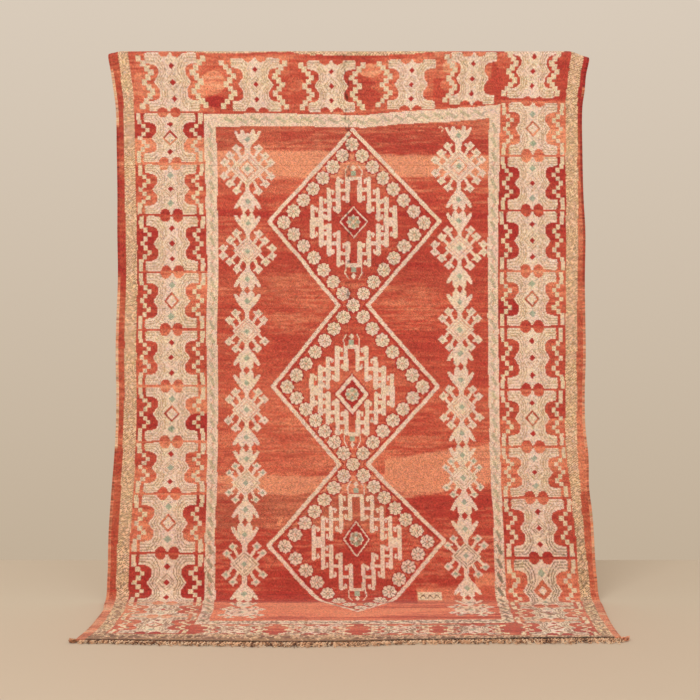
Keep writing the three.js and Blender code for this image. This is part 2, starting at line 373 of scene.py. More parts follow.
# The marks on it: r is a red diamond, s a sage one, R a ring and T a bold ring. A ring in the
# middle takes the inner chevron's place.
MARKS = {"r": (12, 0.115), "s": (14, 0.13), "R": (30, 0.31), "T": (35, 0.36)}
MARK_PLACE = 0.54
RING_HOLES = {"R": 0.7, "T": 0.46}
RING_DOT = (7, 0.07)
# The chain of small squares beside it: each one's place, and half its width and height
SIDE_PLACES = [(119, 0.61), (104, 0.46), (88, 0.31), (102, 0.16), (116, 0.0)]
SIDE_CHAIN = [(121, 0.82, 8, 0.14), *((x, y, 8, 0.08) for x, y in SIDE_PLACES)]
TOP_PLACES = [(116, 0.78), (102, 0.63), (89, 0.47), (76, 0.31), (89, 0.16), (103, 0.0)]
TOP_CHAIN = [(x, y, 10.5, 0.1) for x, y in TOP_PLACES]


def bone(chart, code, links=(1, 1), chain=SIDE_CHAIN):
    """One bone motif, its half height 1. The code names its upper, middle and lower mark."""
    def body(x, y):
        return (abs(x) <= np.interp(abs(y), *BONE.T)) & (abs(y) <= BONE[-1, 0])

    widest = BONE[:, 1].max()
    chart.fill((-widest, -1), (widest, 1), body, CREAM)
    for points in BONE_LINES:
        chart.line(points, LINE, BROWN, QUARTERS)
    for half in BONE_CHEVRONS[:1 if code[1] in RING_HOLES else 2]:
        chart.diamond(0, 0, half, BROWN, CHEVRON_HOLE)
    for y, mark in zip((-MARK_PLACE, 0, MARK_PLACE), code):
        if mark in RING_HOLES:
            chart.diamond(0, y, MARKS["R"], CREAM)
            chart.diamond(0, y, MARKS[mark], EDGE, RING_HOLES[mark])
            chart.diamond(0, y, RING_DOT, BEIGE)
        else:
            chart.diamond(0, y, MARKS[mark], DEEP if mark == "r" else SAGE)
    for side, shown in zip((-1, 1), links):
        for x, y, *half in chain if shown else ():
            for end in (-1, 1):
                chart.box(side * x * shown, end * y, half, CHAIN)


# The lines between the border's cells, with a pair of two-toned lobes
LOBES = {"place": 25, "half": (21.5, 26.5), "gap": 4, "line": (2.8, 5.2), "split": 0.32}
FIRST_LOBES = 0.75  # the first pair's height by the others'
TOP_LOBES = 0.8  # and the top and bottom borders' lobes


def divider(chart, reach, tone):
    """A line between two cells, with its lobes. Reach is half its length."""
    thin, thick = LOBES["line"]
    tall = LOBES["half"][1]
    chart.fill((-reach, -tall), (reach, tall), lambda x, y: abs(y) < thick, None, tone)
    for side in (-1, 1):
        near, far = side * LOBES["gap"], side * reach
        chart.shape([(near, -thick), (far, -thin), (far, thin), (near, thick)], GROUND)
    lobes(chart, tone)


def lobes(chart, tone):
    wide, tall = LOBES["half"]
    for x in (-LOBES["place"], LOBES["place"]):
        chart.oval(x, 0, LOBES["half"], GROUND)
        chart.oval(x, 0, LOBES["half"], None, tone + LOBES["split"])
        chart.fill((x - wide, -tall), (x + wide, 0), lambda p, q: q < -LOBES["line"][0], None,
                   tone - LOBES["split"])


# Side borders, from the top: each line's distance down the rug and its red, then the marks of the
# cell below it, and the reds at its upper left, upper right, lower left and lower right.
# A red runs from -1, crimson, to 1, salmon.
LEFT_BORDER = [
    (237, 0.3, "rRr", -0.8, -0.9, 0.75, 0.9),
    (438, 0.6, "srs", 0.0, -0.2, 0.3, 0.1),
    (640, -0.6, "rrr", -0.8, -0.7, -0.6, -0.7),
    (863, 0.0, "sRs", -0.3, 0.5, -0.4, 0.2),
    (1088, 0.2, "rrr", -0.3, -0.2, 0.0, 0.2),
    (1309, 0.6, "sRs", -0.3, 0.8, -0.8, -0.9),
    (1528, 0.3, "rsr", -0.2, 0.2, 0.5, 0.6),
    (1730, 0.5, "sRs", 0.5, -0.5, 0.4, 0.1),
    (1964, -0.5, "rrr", -0.8, -0.8, -0.9, -0.9),
    (2195, 0.9, "srs", 0.7, 0.6, 0.7, 0.5),
    (2390, 0.8, "rRs", 0.3, 0.2, 0.1, -0.3),
    (2612, -0.4, "end"),
]
RIGHT_BORDER = [
    (196, 0.0, "sRs", 0.1, 0.3, 0.4, 0.6),
    (408, 0.7, "srs", -1.0, -1.0, -1.0, -0.9),
    (622, -0.4, "rrr", -0.9, -0.8, -0.7, -0.3),
    (859, 0.3, "sRs", 0.3, 0.3, -0.8, 0.1),
    (1077, -0.1, "rrr", -0.4, -0.1, -0.3, 0.0),
    (1324, -0.2, "rRr", -0.5, -0.6, 0.1, 0.2),
    (1548, 0.5, "srs", 0.5, 0.6, 0.6, 0.3),
    (1747, 0.0, "rrr", -0.5, -0.5, -0.7, -0.6),
    (1983, -0.3, "sTs", 0.3, 0.4, 0.5, 0.5),
    (2241, 0.7, "srs", 0.6, 0.6, 0.5, 0.5),
    (2441, 0.5, "rRr", 0.2, 0.2, -0.1, -0.1),
    (2632, -0.3, "end"),
]
# The long lines of the borders, by distance down the rug: where the left outer, left inner, right
# inner and right outer guards start and end across it
SEAMS = np.array([
    (-110, -890, -853, -578, -529, 553, 598, 856, 902),
    (290, -897, -854, -578, -529, 552, 595, 855, 902),
    (800, -888, -843, -567, -522, 543, 583, 854, 901),
    (1480, -884, -835, -558, -517, 538, 579, 832, 877),
    (1930, -887, -842, -557, -519, 540, 577, 851, 884),
    (2120, -886, -840, -556, -514, 533, 574, 849, 891),
    (2750, -880, -838, -556, -512, 535, 580, 852, 893),
], float)
BORDER_HALF = 136  # the charted cell's half width

# The top and bottom borders' motifs: place across and down, half height, share of full width,
# marks, how far out the chains stand on the left and right, 0 for none, and the reds round its
# upper and lower half
TOP_BONES = [
    (-693, 119, 119, 1.0, "rrr", 1.08, 1.08, 0.1, 0.4),
    (-367, 129, 109, 0.95, "rrr", 1.2, 1.05, 0.1, -0.1),
    (-71, 135, 104, 0.93, "rrr", 1.1, 1.15, -0.1, -0.2),
    (243, 129, 102, 0.92, "rrr", 1.2, 0, 0.2, 0.1),
    (482, 105, 107, 0.88, "rrr", 1.02, 0, 0.2, -0.3),
    (716, 78, 108, 0.92, "rrr", 1.0, 0.98, -0.5, -0.5),
]
CORNER_BONES = (0, 5)  # these stand over the side borders
BOTTOM_BONES = [
    (-403, 2563, 66, 1.0, "rRr", 1, 1, -0.2, -0.2),
    (-120, 2563, 66, 1.0, "rsr", 1, 1, 0.2, 0.2),
    (170, 2562, 66, 1.0, "rRr", 1, 1, 0.0, 0.0),
    (426, 2561, 66, 0.92, "rsr", 1, 1, 0.2, 0.0),
]
# The top and bottom borders' long lines, from left to right: how far down the outer guard ends
# and the inner one starts at the top, and the inner and the outer one start at the bottom
TOP_LINES = np.array([
    (-922, -6, 240), (-693, -6, 242), (-528, 8, 245), (-391, 7, 241), (-290, 0, 239),
    (-230, 0, 240), (-195, 10, 242), (-71, 15, 246), (60, 15, 247), (215, 11, 234),
    (350, 0, 226), (482, -14, 217), (600, -25, 206), (716, -34, 198), (922, -44, 196),
], float)
BOTTOM_LINES = np.array([
    (-922, 2448, 2612), (-560, 2448, 2618), (0, 2447, 2630), (583, 2425, 2632), (922, 2425, 2632),
], float)
FOLD_LINE = {"points": slice(2, 11), "width": 5}  # a red line below the last of the cream at the fold
GUARD_WIDTH = {"top": 50, "bottom": 48}
END_GUARD = 46
PATCH_REACH = 160  # how far the reds reach to either side of a motif
# The top border's reds, left and right, how far down they reach, and patches of another red
# between its motifs: place, half width and height, tone
TOP_TONES = {-1: -0.1, 1: -0.3}
TOP_UNTIL = 240
TOP_PATCHES = [
    (-532, 120, 48, 45, 0.7), (-532, 196, 44, 22, -0.8), (-215, 128, 36, 28, 0.5), (82, 74, 44, 26, 1.0),
    (82, 182, 40, 34, -0.5), (392, 60, 30, 26, 1.0), (392, 128, 34, 24, 0.4), (596, 36, 34, 30, 0.2),
    (-826, 140, 22, 60, 0.5), (-590, 160, 24, 28, 0.8),
]


def paint_side_border(weave, border, outer, inner):
    """A side border: cream cells with their bones. Outer and inner name columns of SEAMS."""
    for (top, _, code, *reds), (bottom, *_) in zip(border, border[1:]):
        middle = (top + bottom) / 2
        a, b = row_of(SEAMS, outer, middle), row_of(SEAMS, inner, middle)
        cell = Chart(weave, (a + b) / 2, middle, abs(b - a) / 2 / BORDER_HALF, (bottom - top) / 2)
        for red, (x, y) in zip(reds, ((-1, -1), (1, -1), (-1, 1), (1, 1))):
            far = np.array([x * BORDER_HALF, y])
            cell.fill(np.minimum(0, far), np.maximum(0, far),
                      lambda p, q, x=x, y=y: (p * x >= 0) & (q * y >= 0) & (abs(q) <= 1), None, red)
        bone(cell, code)
    for n, (line, red, *_) in enumerate(border):
        a, b = row_of(SEAMS, outer, line), row_of(SEAMS, inner, line)
        divider(Chart(weave, (a + b) / 2, line, 1, 1 if n else FIRST_LOBES), abs(b - a) / 2, red)


def paint_end_borders(weave):
    """The top and bottom borders, with their reds."""
    chart = Chart(weave)
    for side, tone in TOP_TONES.items():
        weave.tone[(weave.v < TOP_UNTIL) & (weave.u * side > 0)] = tone
    bones = TOP_BONES + BOTTOM_BONES
    for u, v, half, wide, *_, upper, lower in bones:
        for red, y in ((upper, -1), (lower, 1)):
            chart.at(u, v, wide, half).fill((-PATCH_REACH, min(0, y)), (PATCH_REACH, max(0, y)),
                                            lambda p, q, y=y: q * y >= 0, None, red)
    for x, y, wide, tall, red in TOP_PATCHES:
        chart.oval(x, y, (wide, tall), None, red)
    for n, (u, v, half, wide, code, left, right, *_) in enumerate(bones):
        bone(chart.at(u, v, wide, half), code, (left, right), TOP_CHAIN)
        for end in (-1,) if n in CORNER_BONES else (-1, 1):
            lobes(chart.at(u, v + end * half, 1, TOP_LOBES), 0)


# The guards' marks: hatching on the outer ones and low on the inner ones, and slanted leaves on both
HATCH = {"step": 9, "slant": 0.8, "share": 0.45, "outer": -0.4, "inner": 0.15, "inner_from": 1900}
BROKEN = {"cells": (1.6, 1.6), "seed": 41}
LEAVES = {
    "outer": {"first": 20, "step": 56, "reach": (8, -12), "width": 8, "yarn": BROWN, "stem": GUARD},
    "side": {"first": 300, "step": 55, "reach": (6, 14), "width": 12, "yarn": LEAF, "stem": PINK},
    "end": {"first": -480, "step": 52, "reach": (15, 8), "width": 12, "yarn": LEAF, "stem": LEAF},
}
VINE = 4  # the faint stem that runs from leaf to leaf
# The wool along the front end: darker towards it, with brown knots among the outer guard's
FRONT_DARKENING = {"before": 20, "after": 40, "by": 0.2, "share": 0.9, "cells": (5, 2.4), "seed": 42}


def paint_guards(weave):
    """The pale guard lines of the sides and ends, the bands outside them, and the bare field."""
    u, v = weave.u, weave.v
    top, field_top = (row_of(TOP_LINES, n, u) for n in (1, 2))
    field_bottom, bottom = (row_of(BOTTOM_LINES, n, u) for n in (1, 2))

    def within(n, upper, lower):
        """The knots between the long line n and its twin on the right, and between two heights."""
        sides = (u > row_of(SEAMS, n, v)) & (u < row_of(SEAMS, SEAMS.shape[1] - n, v))
        return sides & (v > upper) & (v < lower)

    outer = within(1, top - END_GUARD, bottom + END_GUARD) & ~within(2, top, bottom)
    inner = within(3, field_top, field_bottom + GUARD_WIDTH["bottom"])
    weave.field = within(4, field_top + GUARD_WIDTH["top"], field_bottom)
    stripes = (u * HATCH["slant"] + v) / HATCH["step"] % 1 < HATCH["share"]
    broken = weave.noise(BROKEN)
    weave.yarn[outer] = GUARD
    weave.yarn[outer & stripes & (broken > HATCH["outer"])] = TAUPE
    weave.yarn[inner & ~weave.field] = PALE
    weave.yarn[inner & stripes & (broken > HATCH["inner"]) & (v > HATCH["inner_from"])] = BROWN
    weave.yarn[weave.field] = GROUND
    weave.tone[weave.field] = 0
    weave.edge = (u < row_of(SEAMS, 1, v)) | (u > row_of(SEAMS, 8, v)) | (v < top - END_GUARD)
    weave.yarn[weave.edge] = EDGE
    weave.yarn[(v > bottom + END_GUARD) & ~weave.edge] = TAN
    weave.front = smoothstep(v, bottom - FRONT_DARKENING["before"], bottom + FRONT_DARKENING["after"])
    weave.yarn[outer & (weave.noise(FRONT_DARKENING) > 1 - FRONT_DARKENING["share"] * weave.front)] = UMBER


def paint_leaves(weave):
    """The leaves on the guards, side by side down the rug and then across it."""
    chart = Chart(weave)
    outer, side, end = LEAVES.values()
    for kind, columns, bottom in ((outer, ((1, 2), (7, 8)), 2), (side, ((3, 4), (5, 6)), 1)):
        for a, b in columns:
            for v in np.arange(kind["first"], row_of(BOTTOM_LINES, bottom, 0), kind["step"]):
                leaf(chart, (row_of(SEAMS, a, v) + row_of(SEAMS, b, v)) / 2, v, kind)
        if kind is outer:
            for u in np.arange(SEAMS[0, 1] + outer["step"], SEAMS[0, 8], outer["step"]):
                leaf(chart, u, row_of(BOTTOM_LINES, 2, u) + END_GUARD / 2, outer)
    for u in np.arange(end["first"], SEAMS[0, 5], end["step"]):
        leaf(chart, u, row_of(TOP_LINES, 2, u) + GUARD_WIDTH["top"] / 2, end)
        leaf(chart, u, row_of(BOTTOM_LINES, 1, u) + GUARD_WIDTH["bottom"] / 2, end)
    fold = TOP_LINES[FOLD_LINE["points"], :2] + (0, FOLD_LINE["width"] / 2)
    chart.line(fold, FOLD_LINE["width"], GROUND)


def leaf(chart, u, v, kind):
    """A slanted leaf, and the faint stem from its end to the next one's start."""
    half, spot = np.array(kind["reach"]), np.array([u, v])
    way = 0 if half[0] > abs(half[1]) else 1
    onward = np.where(np.arange(2) == way, kind["step"], 0)
    end = half * np.sign(half[way])
    chart.line([spot + end, spot + onward - end], VINE, kind["stem"])
    chart.line([spot - half, spot + half], kind["width"], kind["yarn"])


# The field's medallions. Outlines: the left and right zigzags through these places, each with a
# thin dark line inside it
OUTLINES = [
    [(11, 307), (-321, 664), (-46, 994), (-304, 1311), (-45, 1617), (-315, 1936), (16, 2320)],
    [(11, 307), (354, 664), (69, 994), (340, 1311), (65, 1617), (349, 1914), (16, 2320)],
]
OUTLINE = {"width": 14.5, "inner": 4.4, "inset": 17}
# Rosettes stand in a chain around each medallion, seven steps from corner to corner
CHAIN_CORNERS = [
    [(8, 364), (-263, 668), (11, 994), (-248, 1313), (8, 1617), (-254, 1938), (27, 2266)],
    [(8, 364), (292, 670), (11, 994), (280, 1313), (8, 1617), (286, 1919), (27, 2266)],
]
CHAIN_STEPS = 7
ROSETTE = {"radius": 27.5, "scallop": 0.07, "rays": (7, 24), "eye": 4.5, "halo": 2.5, "ray": 2.9}
PETALS = 8
PETAL_TURN = 2 * math.pi / PETALS


def rosette(chart, u, v):
    radius, scallop = ROSETTE["radius"], ROSETTE["scallop"]
    low, high = ROSETTE["rays"]

    def inside(x, y):
        edge = 1 - scallop + scallop * np.cos(PETALS * np.arctan2(y - v, x - u))
        return np.hypot(x - u, y - v) <= radius * edge

    chart.oval(u, v, radius + ROSETTE["halo"], DEEP)
    chart.fill((u - radius, v - radius), (u + radius, v + radius), inside, CREAM)
    for turn in (np.arange(PETALS) + 0.5) * PETAL_TURN:
        way = np.array([math.cos(turn), math.sin(turn)])
        chart.line([(u, v) + way * low, (u, v) + way * high], ROSETTE["ray"], OLIVE)
    chart.oval(u, v, ROSETTE["eye"], PINK)


# The ring of bars in each medallion: a quarter of it, mirrored left and right and up and down.
# Upright bars: place across, from and to. Thinner links join them.
BARS = [(24, 84, 168), (60, 42, 168), (97, 13, 125), (129, 0, 90), (163, 0, 57)]
BAR_LINKS = [(24, 60, 125), (60, 97, 85), (97, 129, 47)]
LINK_SHARE = 0.8  # of a bar's width
SOLID_LINK = {"from": 129, "to": 163, "half": 19}
ARCH = {"half": 24, "place": 170}
BAR_END = {"curl": [(0, 0), (17, 5), (16, 14)], "thick": 10}
FINIALS = {"sage": 189, "cream": 212, "half": 10, "tall": 13, "bracket": [(31, 176), (33, 200), (20, 222)]}
# In its middle, a diamond with a dark rim, a flower in it, and the petals' own eyes
CORE = {"rim": 1.1, "line": 1.3, "out": 16, "eye": 6.5}
MEDALLIONS = [
    {"place": (13, 667, 1.0, 1.0), "bar": 18, "core": (57, 62), "line": 5, "shift": 0},
    {"place": (5, 1327, 0.96, 1.0), "bar": 18, "core": (68, 80), "line": 15, "shift": 15},
    {"place": (18, 1923, 1.0, 1.08), "bar": 15, "core": (52, 66), "line": 5, "shift": -13},
]


def bar_end(chart, x, y, across, back):
    """The curled end of a bar."""
    chart.line([(x + across * p, y + back * q) for p, q in BAR_END["curl"]], BAR_END["thick"], CREAM)


def ring(chart, bar):
    """The ring of bars, its arches and the small ornaments over and under it."""
    for x, low, high in BARS:
        for side in (-1, 1):
            for end in (-1, 1):
                chart.line([(side * x, end * low), (side * x, end * high)], bar, CREAM)
                if x > ARCH["half"]:
                    bar_end(chart, side * x, end * high, -side, -end)
                if low:
                    bar_end(chart, side * x, end * low, side, end)
    for a, b, y in BAR_LINKS:
        chart.line([(a, y), (b, y)], bar * LINK_SHARE, CREAM, QUARTERS)
    near, far = SOLID_LINK["from"], SOLID_LINK["to"]
    for side in (-1, 1):
        chart.box(side * (near + far) / 2, 0, ((far - near) / 2, SOLID_LINK["half"]), CREAM)
    for end in (-1, 1):
        y = end * ARCH["place"]
        chart.line([(-ARCH["half"], y), (ARCH["half"], y)], bar * LINK_SHARE, CREAM)
        chart.box(0, end * FINIALS["sage"], FINIALS["half"], SAGE)
        chart.diamond(0, end * FINIALS["cream"], (FINIALS["half"], FINIALS["tall"]), CREAM)
    chart.line(FINIALS["bracket"], LINE, CREAM, QUARTERS)


def core(chart, half, line, shift):
    """The diamond in the middle of a medallion, with its flower."""
    half = np.array(half)
    chart.diamond(0, shift, half * CORE["rim"], DEEP)
    chart.diamond(0, shift, half, CREAM)
    chart.diamond(0, shift, half * (1 - line / half.min() * CORE["line"]), DEEP)
    rosette(chart, 0, shift)
    for n, turn in enumerate(np.arange(PETALS) * PETAL_TURN):
        x, y = CORE["out"] * math.cos(turn), shift + CORE["out"] * math.sin(turn)
        chart.oval(x, y, CORE["eye"], BROWN if n % 2 else SAGE)


# The hooked diamonds between the medallions and the border, and the tulips between them
COLUMNS = [
    {"u": -406, "crown": 343, "diamonds": [459, 782, 1094, 1403, 1689, 2007, 2331],
     "tulips": [(586, 672), (891, 978), (1199, 1296), (1512, 1593), (1795, 1892), (2126, 2222)]},
    {"u": 431, "crown": 328, "diamonds": [447, 768, 1087, 1392, 1668, 1976, 2298],
     "tulips": [(580, 661), (879, 980), (1181, 1285), (1496, 1581), (1766, 1867), (2100, 2190)]},
]
DIAMOND = {"half": 57, "lines": (0.84, 0.6), "inner": 0.5, "heart": 0.4, "line": 4.4, "eye": 12, "stem": 16}
# Each diamond's kind, its size and how far its hooks reach
DIAMONDS = [("first", 1.25, 1), ("second", 1, 1), ("plain", 1, 1), ("plain", 1, 1), ("late", 1, 0.94),
            ("late", 1, 1), ("last", 1.16, 1)]
LAST_HALF = 60  # the last one is nearly filled in
# Hooks round a diamond: the foot on its side, and the curl at the end
HOOKS = [((26, -34), (46, -69)), ((44, -12), (69, -42)), ((44, 12), (70, 41)), ((24, 34), (43, 70))]
FIRST_HOOKS = [((26, -44), (45, -79)), ((50, -26), (70, -51)), ((48, 30), (71, 57)), ((26, 52), (44, 86)),
               ((70, 0), (92, -24)), ((70, 4), (94, 28))]
HOOK_CURL = {"half": 18, "eye": 6, "ink": LEAF, "stem": 11, "tip": (17, 5), "thick": 9}
LATE_CURL = {"half": 17, "eye": 8, "ink": SAGE, "stem": 11, "tip": (15, 3), "thick": 9}
SIDE_CURLS = [(97, -12), (97, 17)]
# Half of a tulip, from its stem to the middle between its prongs, and half of the larger one
# over the first diamond. They open downwards.
TULIP = [(6, -60), (8, -44), (15, -31), (29, -16), (39, -1), (47, 12), (53, 28), (43, 31), (32, 18),
         (27, 15), (22, 26), (10, 22)]
TULIP_JOIN = {"half": 27, "gap": (13, 17), "notch": (9, 14)}
CROWN = [(11, -70), (13, -27), (26, -14), (39, 0), (46, 15), (53, 31), (43, 33), (35, 19), (29, 22),
         (26, 38), (17, 39), (9, 22), (0, 24)]
# A few odd marks: a tick, a squiggle, and a small tablet with plain strokes
TICK = {"points": [(-272, 1828), (-279, 1850)], "width": 14}
SQUIGGLE = [(350, 300), (362, 292), (372, 302), (364, 312)]
TABLET = {"middle": (287, 2140), "half": (45, 21)}
STROKES = [(-36, 9, 10, -18), (-24, -9, 10, 18), (-10, 9, 10, -18), (2, -9, 10, 18), (16, 9, 10, -18),
           (28, -9, 8, 14)]


def hooked_diamond(chart, kind, size, reach):
    """A diamond with its lines and heart, in front of the hooks round it."""
    hook = LATE_CURL if kind == "late" else HOOK_CURL
    spread = chart.at(0, 0, reach, reach)
    if kind == "last":
        spread.oval(0, 0, LAST_HALF, CREAM)
    for foot, curl in FIRST_HOOKS if kind == "first" else HOOKS:
        spread.line([foot, curl], hook["stem"], CREAM, SIDES)
        curled(spread, *curl, hook)
    if kind == "second":
        for curl in SIDE_CURLS:
            curled(spread, *curl, hook)
    half = DIAMOND["half"] * size
    chart.diamond(0, 0, half, CREAM)
    for share in DIAMOND["lines"]:
        ink = BROWN if kind == "late" else PINK
        chart.diamond(0, 0, half * share, ink, 1 - DIAMOND["line"] / (half * share))
    if kind == "first":
        chart.diamond(0, 0, half * DIAMOND["inner"], GROUND)
    chart.diamond(0, 0, half * DIAMOND["heart"], CREAM)
    chart.diamond(0, 0, DIAMOND["eye"], SAGE)


def curled(chart, x, y, hook):
    """The curls of a pair of hooks."""
    across, away = hook["tip"]
    for side in (-1, 1):
        chart.diamond(side * x, y, hook["half"], CREAM)
        tip = (side * (x - across), y + math.copysign(away, y))
        chart.line([(side * x, y), tip], hook["thick"], CREAM)
        chart.diamond(side * x, y, hook["eye"], hook["ink"])


def tulip(chart, u, v, way, root, outline=TULIP):
    """A tulip with its eye at v. Way is 1 where it opens downwards, and root is where it grows."""
    chart.line([(u, root), (u, v)], DIAMOND["stem"], CREAM)
    spot = chart.at(u, v, 1, way)
    spot.shape(outline + [(-x, y) for x, y in reversed(outline)], CREAM)
    spot.diamond(0, 0, DIAMOND["eye"], SAGE)


def paint_column(chart, u, crown, diamonds, tulips):
    """A column of hooked diamonds, with two tulips tip to tip between each two of them."""
    for (above, below), upper, lower in zip(tulips, diamonds, diamonds[1:]):
        middle = (above + below) / 2
        chart.box(u, middle, (TULIP_JOIN["half"], below - middle - DIAMOND["eye"]), CREAM)
        tulip(chart, u, above, 1, upper)
        tulip(chart, u, below, -1, lower)
        chart.diamond(u, middle, TULIP_JOIN["gap"], GROUND)
        for side in (-1, 1):
            chart.diamond(u + side * TULIP_JOIN["half"], middle, TULIP_JOIN["notch"], GROUND)
    tulip(chart, u, crown, -1, diamonds[0], CROWN)
    for v, (kind, size, reach) in zip(diamonds, DIAMONDS):
        hooked_diamond(chart.at(u, v), kind, size, reach)


def paint_field(weave):
    chart = Chart(weave)
    for points, inward in zip(OUTLINES, (1, -1)):
        chart.line(np.array(points) + (inward * OUTLINE["inset"], 0), OUTLINE["inner"], DEEP)
        chart.line(points, OUTLINE["width"], CREAM)
    for corners in np.array(CHAIN_CORNERS, float):
        for a, b in zip(corners, corners[1:]):
            for step in range(CHAIN_STEPS + 1):
                rosette(chart, *(a + (b - a) * step / CHAIN_STEPS))
    for medallion in MEDALLIONS:
        spot = chart.at(*medallion["place"])
        ring(spot, medallion["bar"])
        core(spot, medallion["core"], medallion["line"], medallion["shift"])
    for column in COLUMNS:
        paint_column(chart, **column)
    chart.line(TICK["points"], TICK["width"], SALMON)
    chart.line(SQUIGGLE, VINE, PINK)
    tablet = chart.at(*TABLET["middle"])
    tablet.box(0, 0, TABLET["half"], BEIGE)
    for x, y, dx, dy in STROKES:
        tablet.line([(x, y), (x + dx, y + dy)], LINE, UMBER)


def weave_rug():
    weave = Weave()
    paint_end_borders(weave)
    paint_side_border(weave, LEFT_BORDER, 2, 3)
    paint_side_border(weave, RIGHT_BORDER, 7, 6)
    paint_guards(weave)
    paint_leaves(weave)
    paint_field(weave)
    return weave


# Colours of the yarns, as they look in daylight, from 0 to 255
INKS = {
    GROUND: (196, 86, 66), DEEP: (172, 48, 44), ORANGE: (252, 152, 116), CREAM: (236, 209, 190),
    PINK: (218, 164, 142), BEIGE: (232, 206, 176), SAGE: (168, 176, 156), CHAIN: (228, 204, 176),
    BROWN: (202, 168, 138), GUARD: (240, 200, 166), EDGE: (186, 88, 64), TAN: (176, 136, 104),
    TAUPE: (160, 126, 98), SALMON: (232, 148, 114), OLIVE: (176, 158, 130), PALE: (235, 206, 186),
    BRICK: (186, 104, 80), LEAF: (198, 183, 158), UMBER: (122, 86, 68),
}

# Dye lots of the field's red, down the rug, and from the bend on the laid end's orange, which is partly a
# dye lot and partly painted sheen: from, to, how softly they start and end, the part of the width, the rise
# from left to right, and the inks that the red runs to, with how far
LOTS_AND_LAID_SHEEN = [
    (250, 388, 10, (-0.6, 0.6), 0, (BRICK, 0.4)),
    (290, 388, 10, (-0.3, 0.6), 0, (DEEP, 0.4)),
    (340, 404, 8, (0.05, 0.6), 0, (DEEP, 0.4)),
    (388, 490, 6, (-0.6, 0.0), 0, (SALMON, 0.8), (GUARD, 0.2)),
    (404, 490, 6, (0.0, 0.6), 0, (SALMON, 0.8), (GUARD, 0.2)),
    (490, 560, 14, (-0.6, 0.2), 0, (SALMON, 0.2)),
    (496, 640, 10, (0.2, 0.6), 0, (DEEP, 0.25)),
    (622, 650, 6, (-0.6, 0.6), 0, (DEEP, 0.75)),
    (650, 860, 20, (-0.6, 0.6), 0, (DEEP, 0.3)),
    (860, 960, 20, (-0.6, 0.6), 0, (BRICK, 0.25)),
    (1080, 1200, 30, (-0.6, 0.6), 0, (DEEP, 0.15)),
    (1240, 1560, 30, (-0.6, 0.1), 0, (SALMON, 0.12)),
    (1560, 1674, 20, (-0.6, 0.15), 0, (SALMON, 0.2)),
    (1660, 1735, 5, (-0.6, 0.14), 0, (SALMON, 0.8), (GUARD, 0.15)),
    (1735, 1870, 8, (-0.6, 0.14), 0, (BRICK, 0.85)),
    (1870, 2190, 12, (-0.6, 0.14), 0, (DEEP, 0.5)),
    (1600, 1760, 8, (0.14, 0.6), -150, (SALMON, 0.8), (GUARD, 0.15)),
    (1760, 1850, 12, (0.14, 0.6), -60, (DEEP, 0.6)),
    (1850, 2105, 20, (0.14, 0.6), 0, (DEEP, 0.45)),
    (2105, 2190, 8, (0.14, 0.26), 0, (DEEP, 0.45)),
    (2105, 2190, 8, (0.26, 0.44), 0, (SALMON, 0.7)),
    (2040, 2100, 10, (0.5, 0.6), 0, (SALMON, 0.8)),
    (2100, 2190, 6, (0.44, 0.6), 0, (SALMON, 0.2)),
    # From the bend on: partly a dye lot, partly painted sheen of the laid pile
    (2188, 2240, 6, (-0.6, 0.6), 20, (ORANGE, 0.95)),
    (2240, 2300, 8, (-0.6, 0.6), 30, (ORANGE, 0.75)),
    (2300, 2410, 8, (-0.6, 0.6), -20, (ORANGE, 0.98)),
    (2410, 2700, 6, (-0.6, 0.6), 0, (ORANGE, 0.5)),
]
# Reds of the edge bands by distance down the rug: left outer, left inner, right inner, right outer
EDGE_REDS = np.array([
    (-130, -0.2, -0.2, -0.9, -1.0),
    (55, -0.2, -0.2, -1.0, -1.0),
    (80, 1.7, -0.1, -1.0, -1.0),
    (118, 1.8, -0.4, -1.0, -1.0),
    (124, 1.8, -0.4, -1.0, 1.0),
    (166, 1.8, -0.4, -1.0, 1.0),
    (172, 1.8, -0.4, -1.0, -1.0),
    (275, 1.8, -0.4, -1.0, -1.0),
    (300, -0.8, -0.7, -0.9, -1.0),
    (380, -0.6, -0.5, 0.2, -0.8),
    (440, -0.1, 0.4, 0.3, -0.6),
    (520, -0.4, -0.3, 0.3, -0.5),
    (860, -0.5, -0.3, 0.3, -0.2),
    (890, 1.5, -0.2, 0.2, 0.1),
    (1150, 1.8, 0.0, 0.4, 1.6),
    (1540, 1.9, -0.2, 0.4, 1.2),
    (1560, -0.1, -0.3, 0.8, 0.9),
    (1720, 0.3, 0.0, 0.7, 0.6),
    (1740, 0.4, 0.0, -0.4, -0.3),
    (1800, 0.6, 0.0, -0.3, 1.3),
    (1930, 0.9, -0.2, 0.0, 1.2),
    (2140, 0.5, -0.4, -0.2, 0.2),
    # From the bend on the edge reds turn salmon: partly their own tone, partly painted sheen of the laid
    # pile
    (2185, 0.8, 0.6, 0.8, 0.9),
    (2750, 0.9, 0.8, 0.8, 0.9),
], float)
EDGE_SPLIT = (0.985, 0.991)  # where the outer tones start, by share of the half width
# What makes the reds uneven: streaks, dashes, patches, and bolder streaks on the laid end
UNEVEN = [
    {"by": 0.36, "cells": (2, 34), "seed": 11},
    {"by": 0.30, "cells": (1.3, 7), "seed": 14},
    {"by": 0.34, "cells": (20, 60), "seed": 12},
]
LAID = {"by": 0.6, "cells": (11, 60), "seed": 17, "from": 2150, "to": 2200}
# How ragged the ends of the dye lots and the edge bands' reds are, in mm
RAGGED = [{"by": 5, "cells": (2, 12), "seed": 31}, {"by": 4, "cells": (9, 40), "seed": 32}]
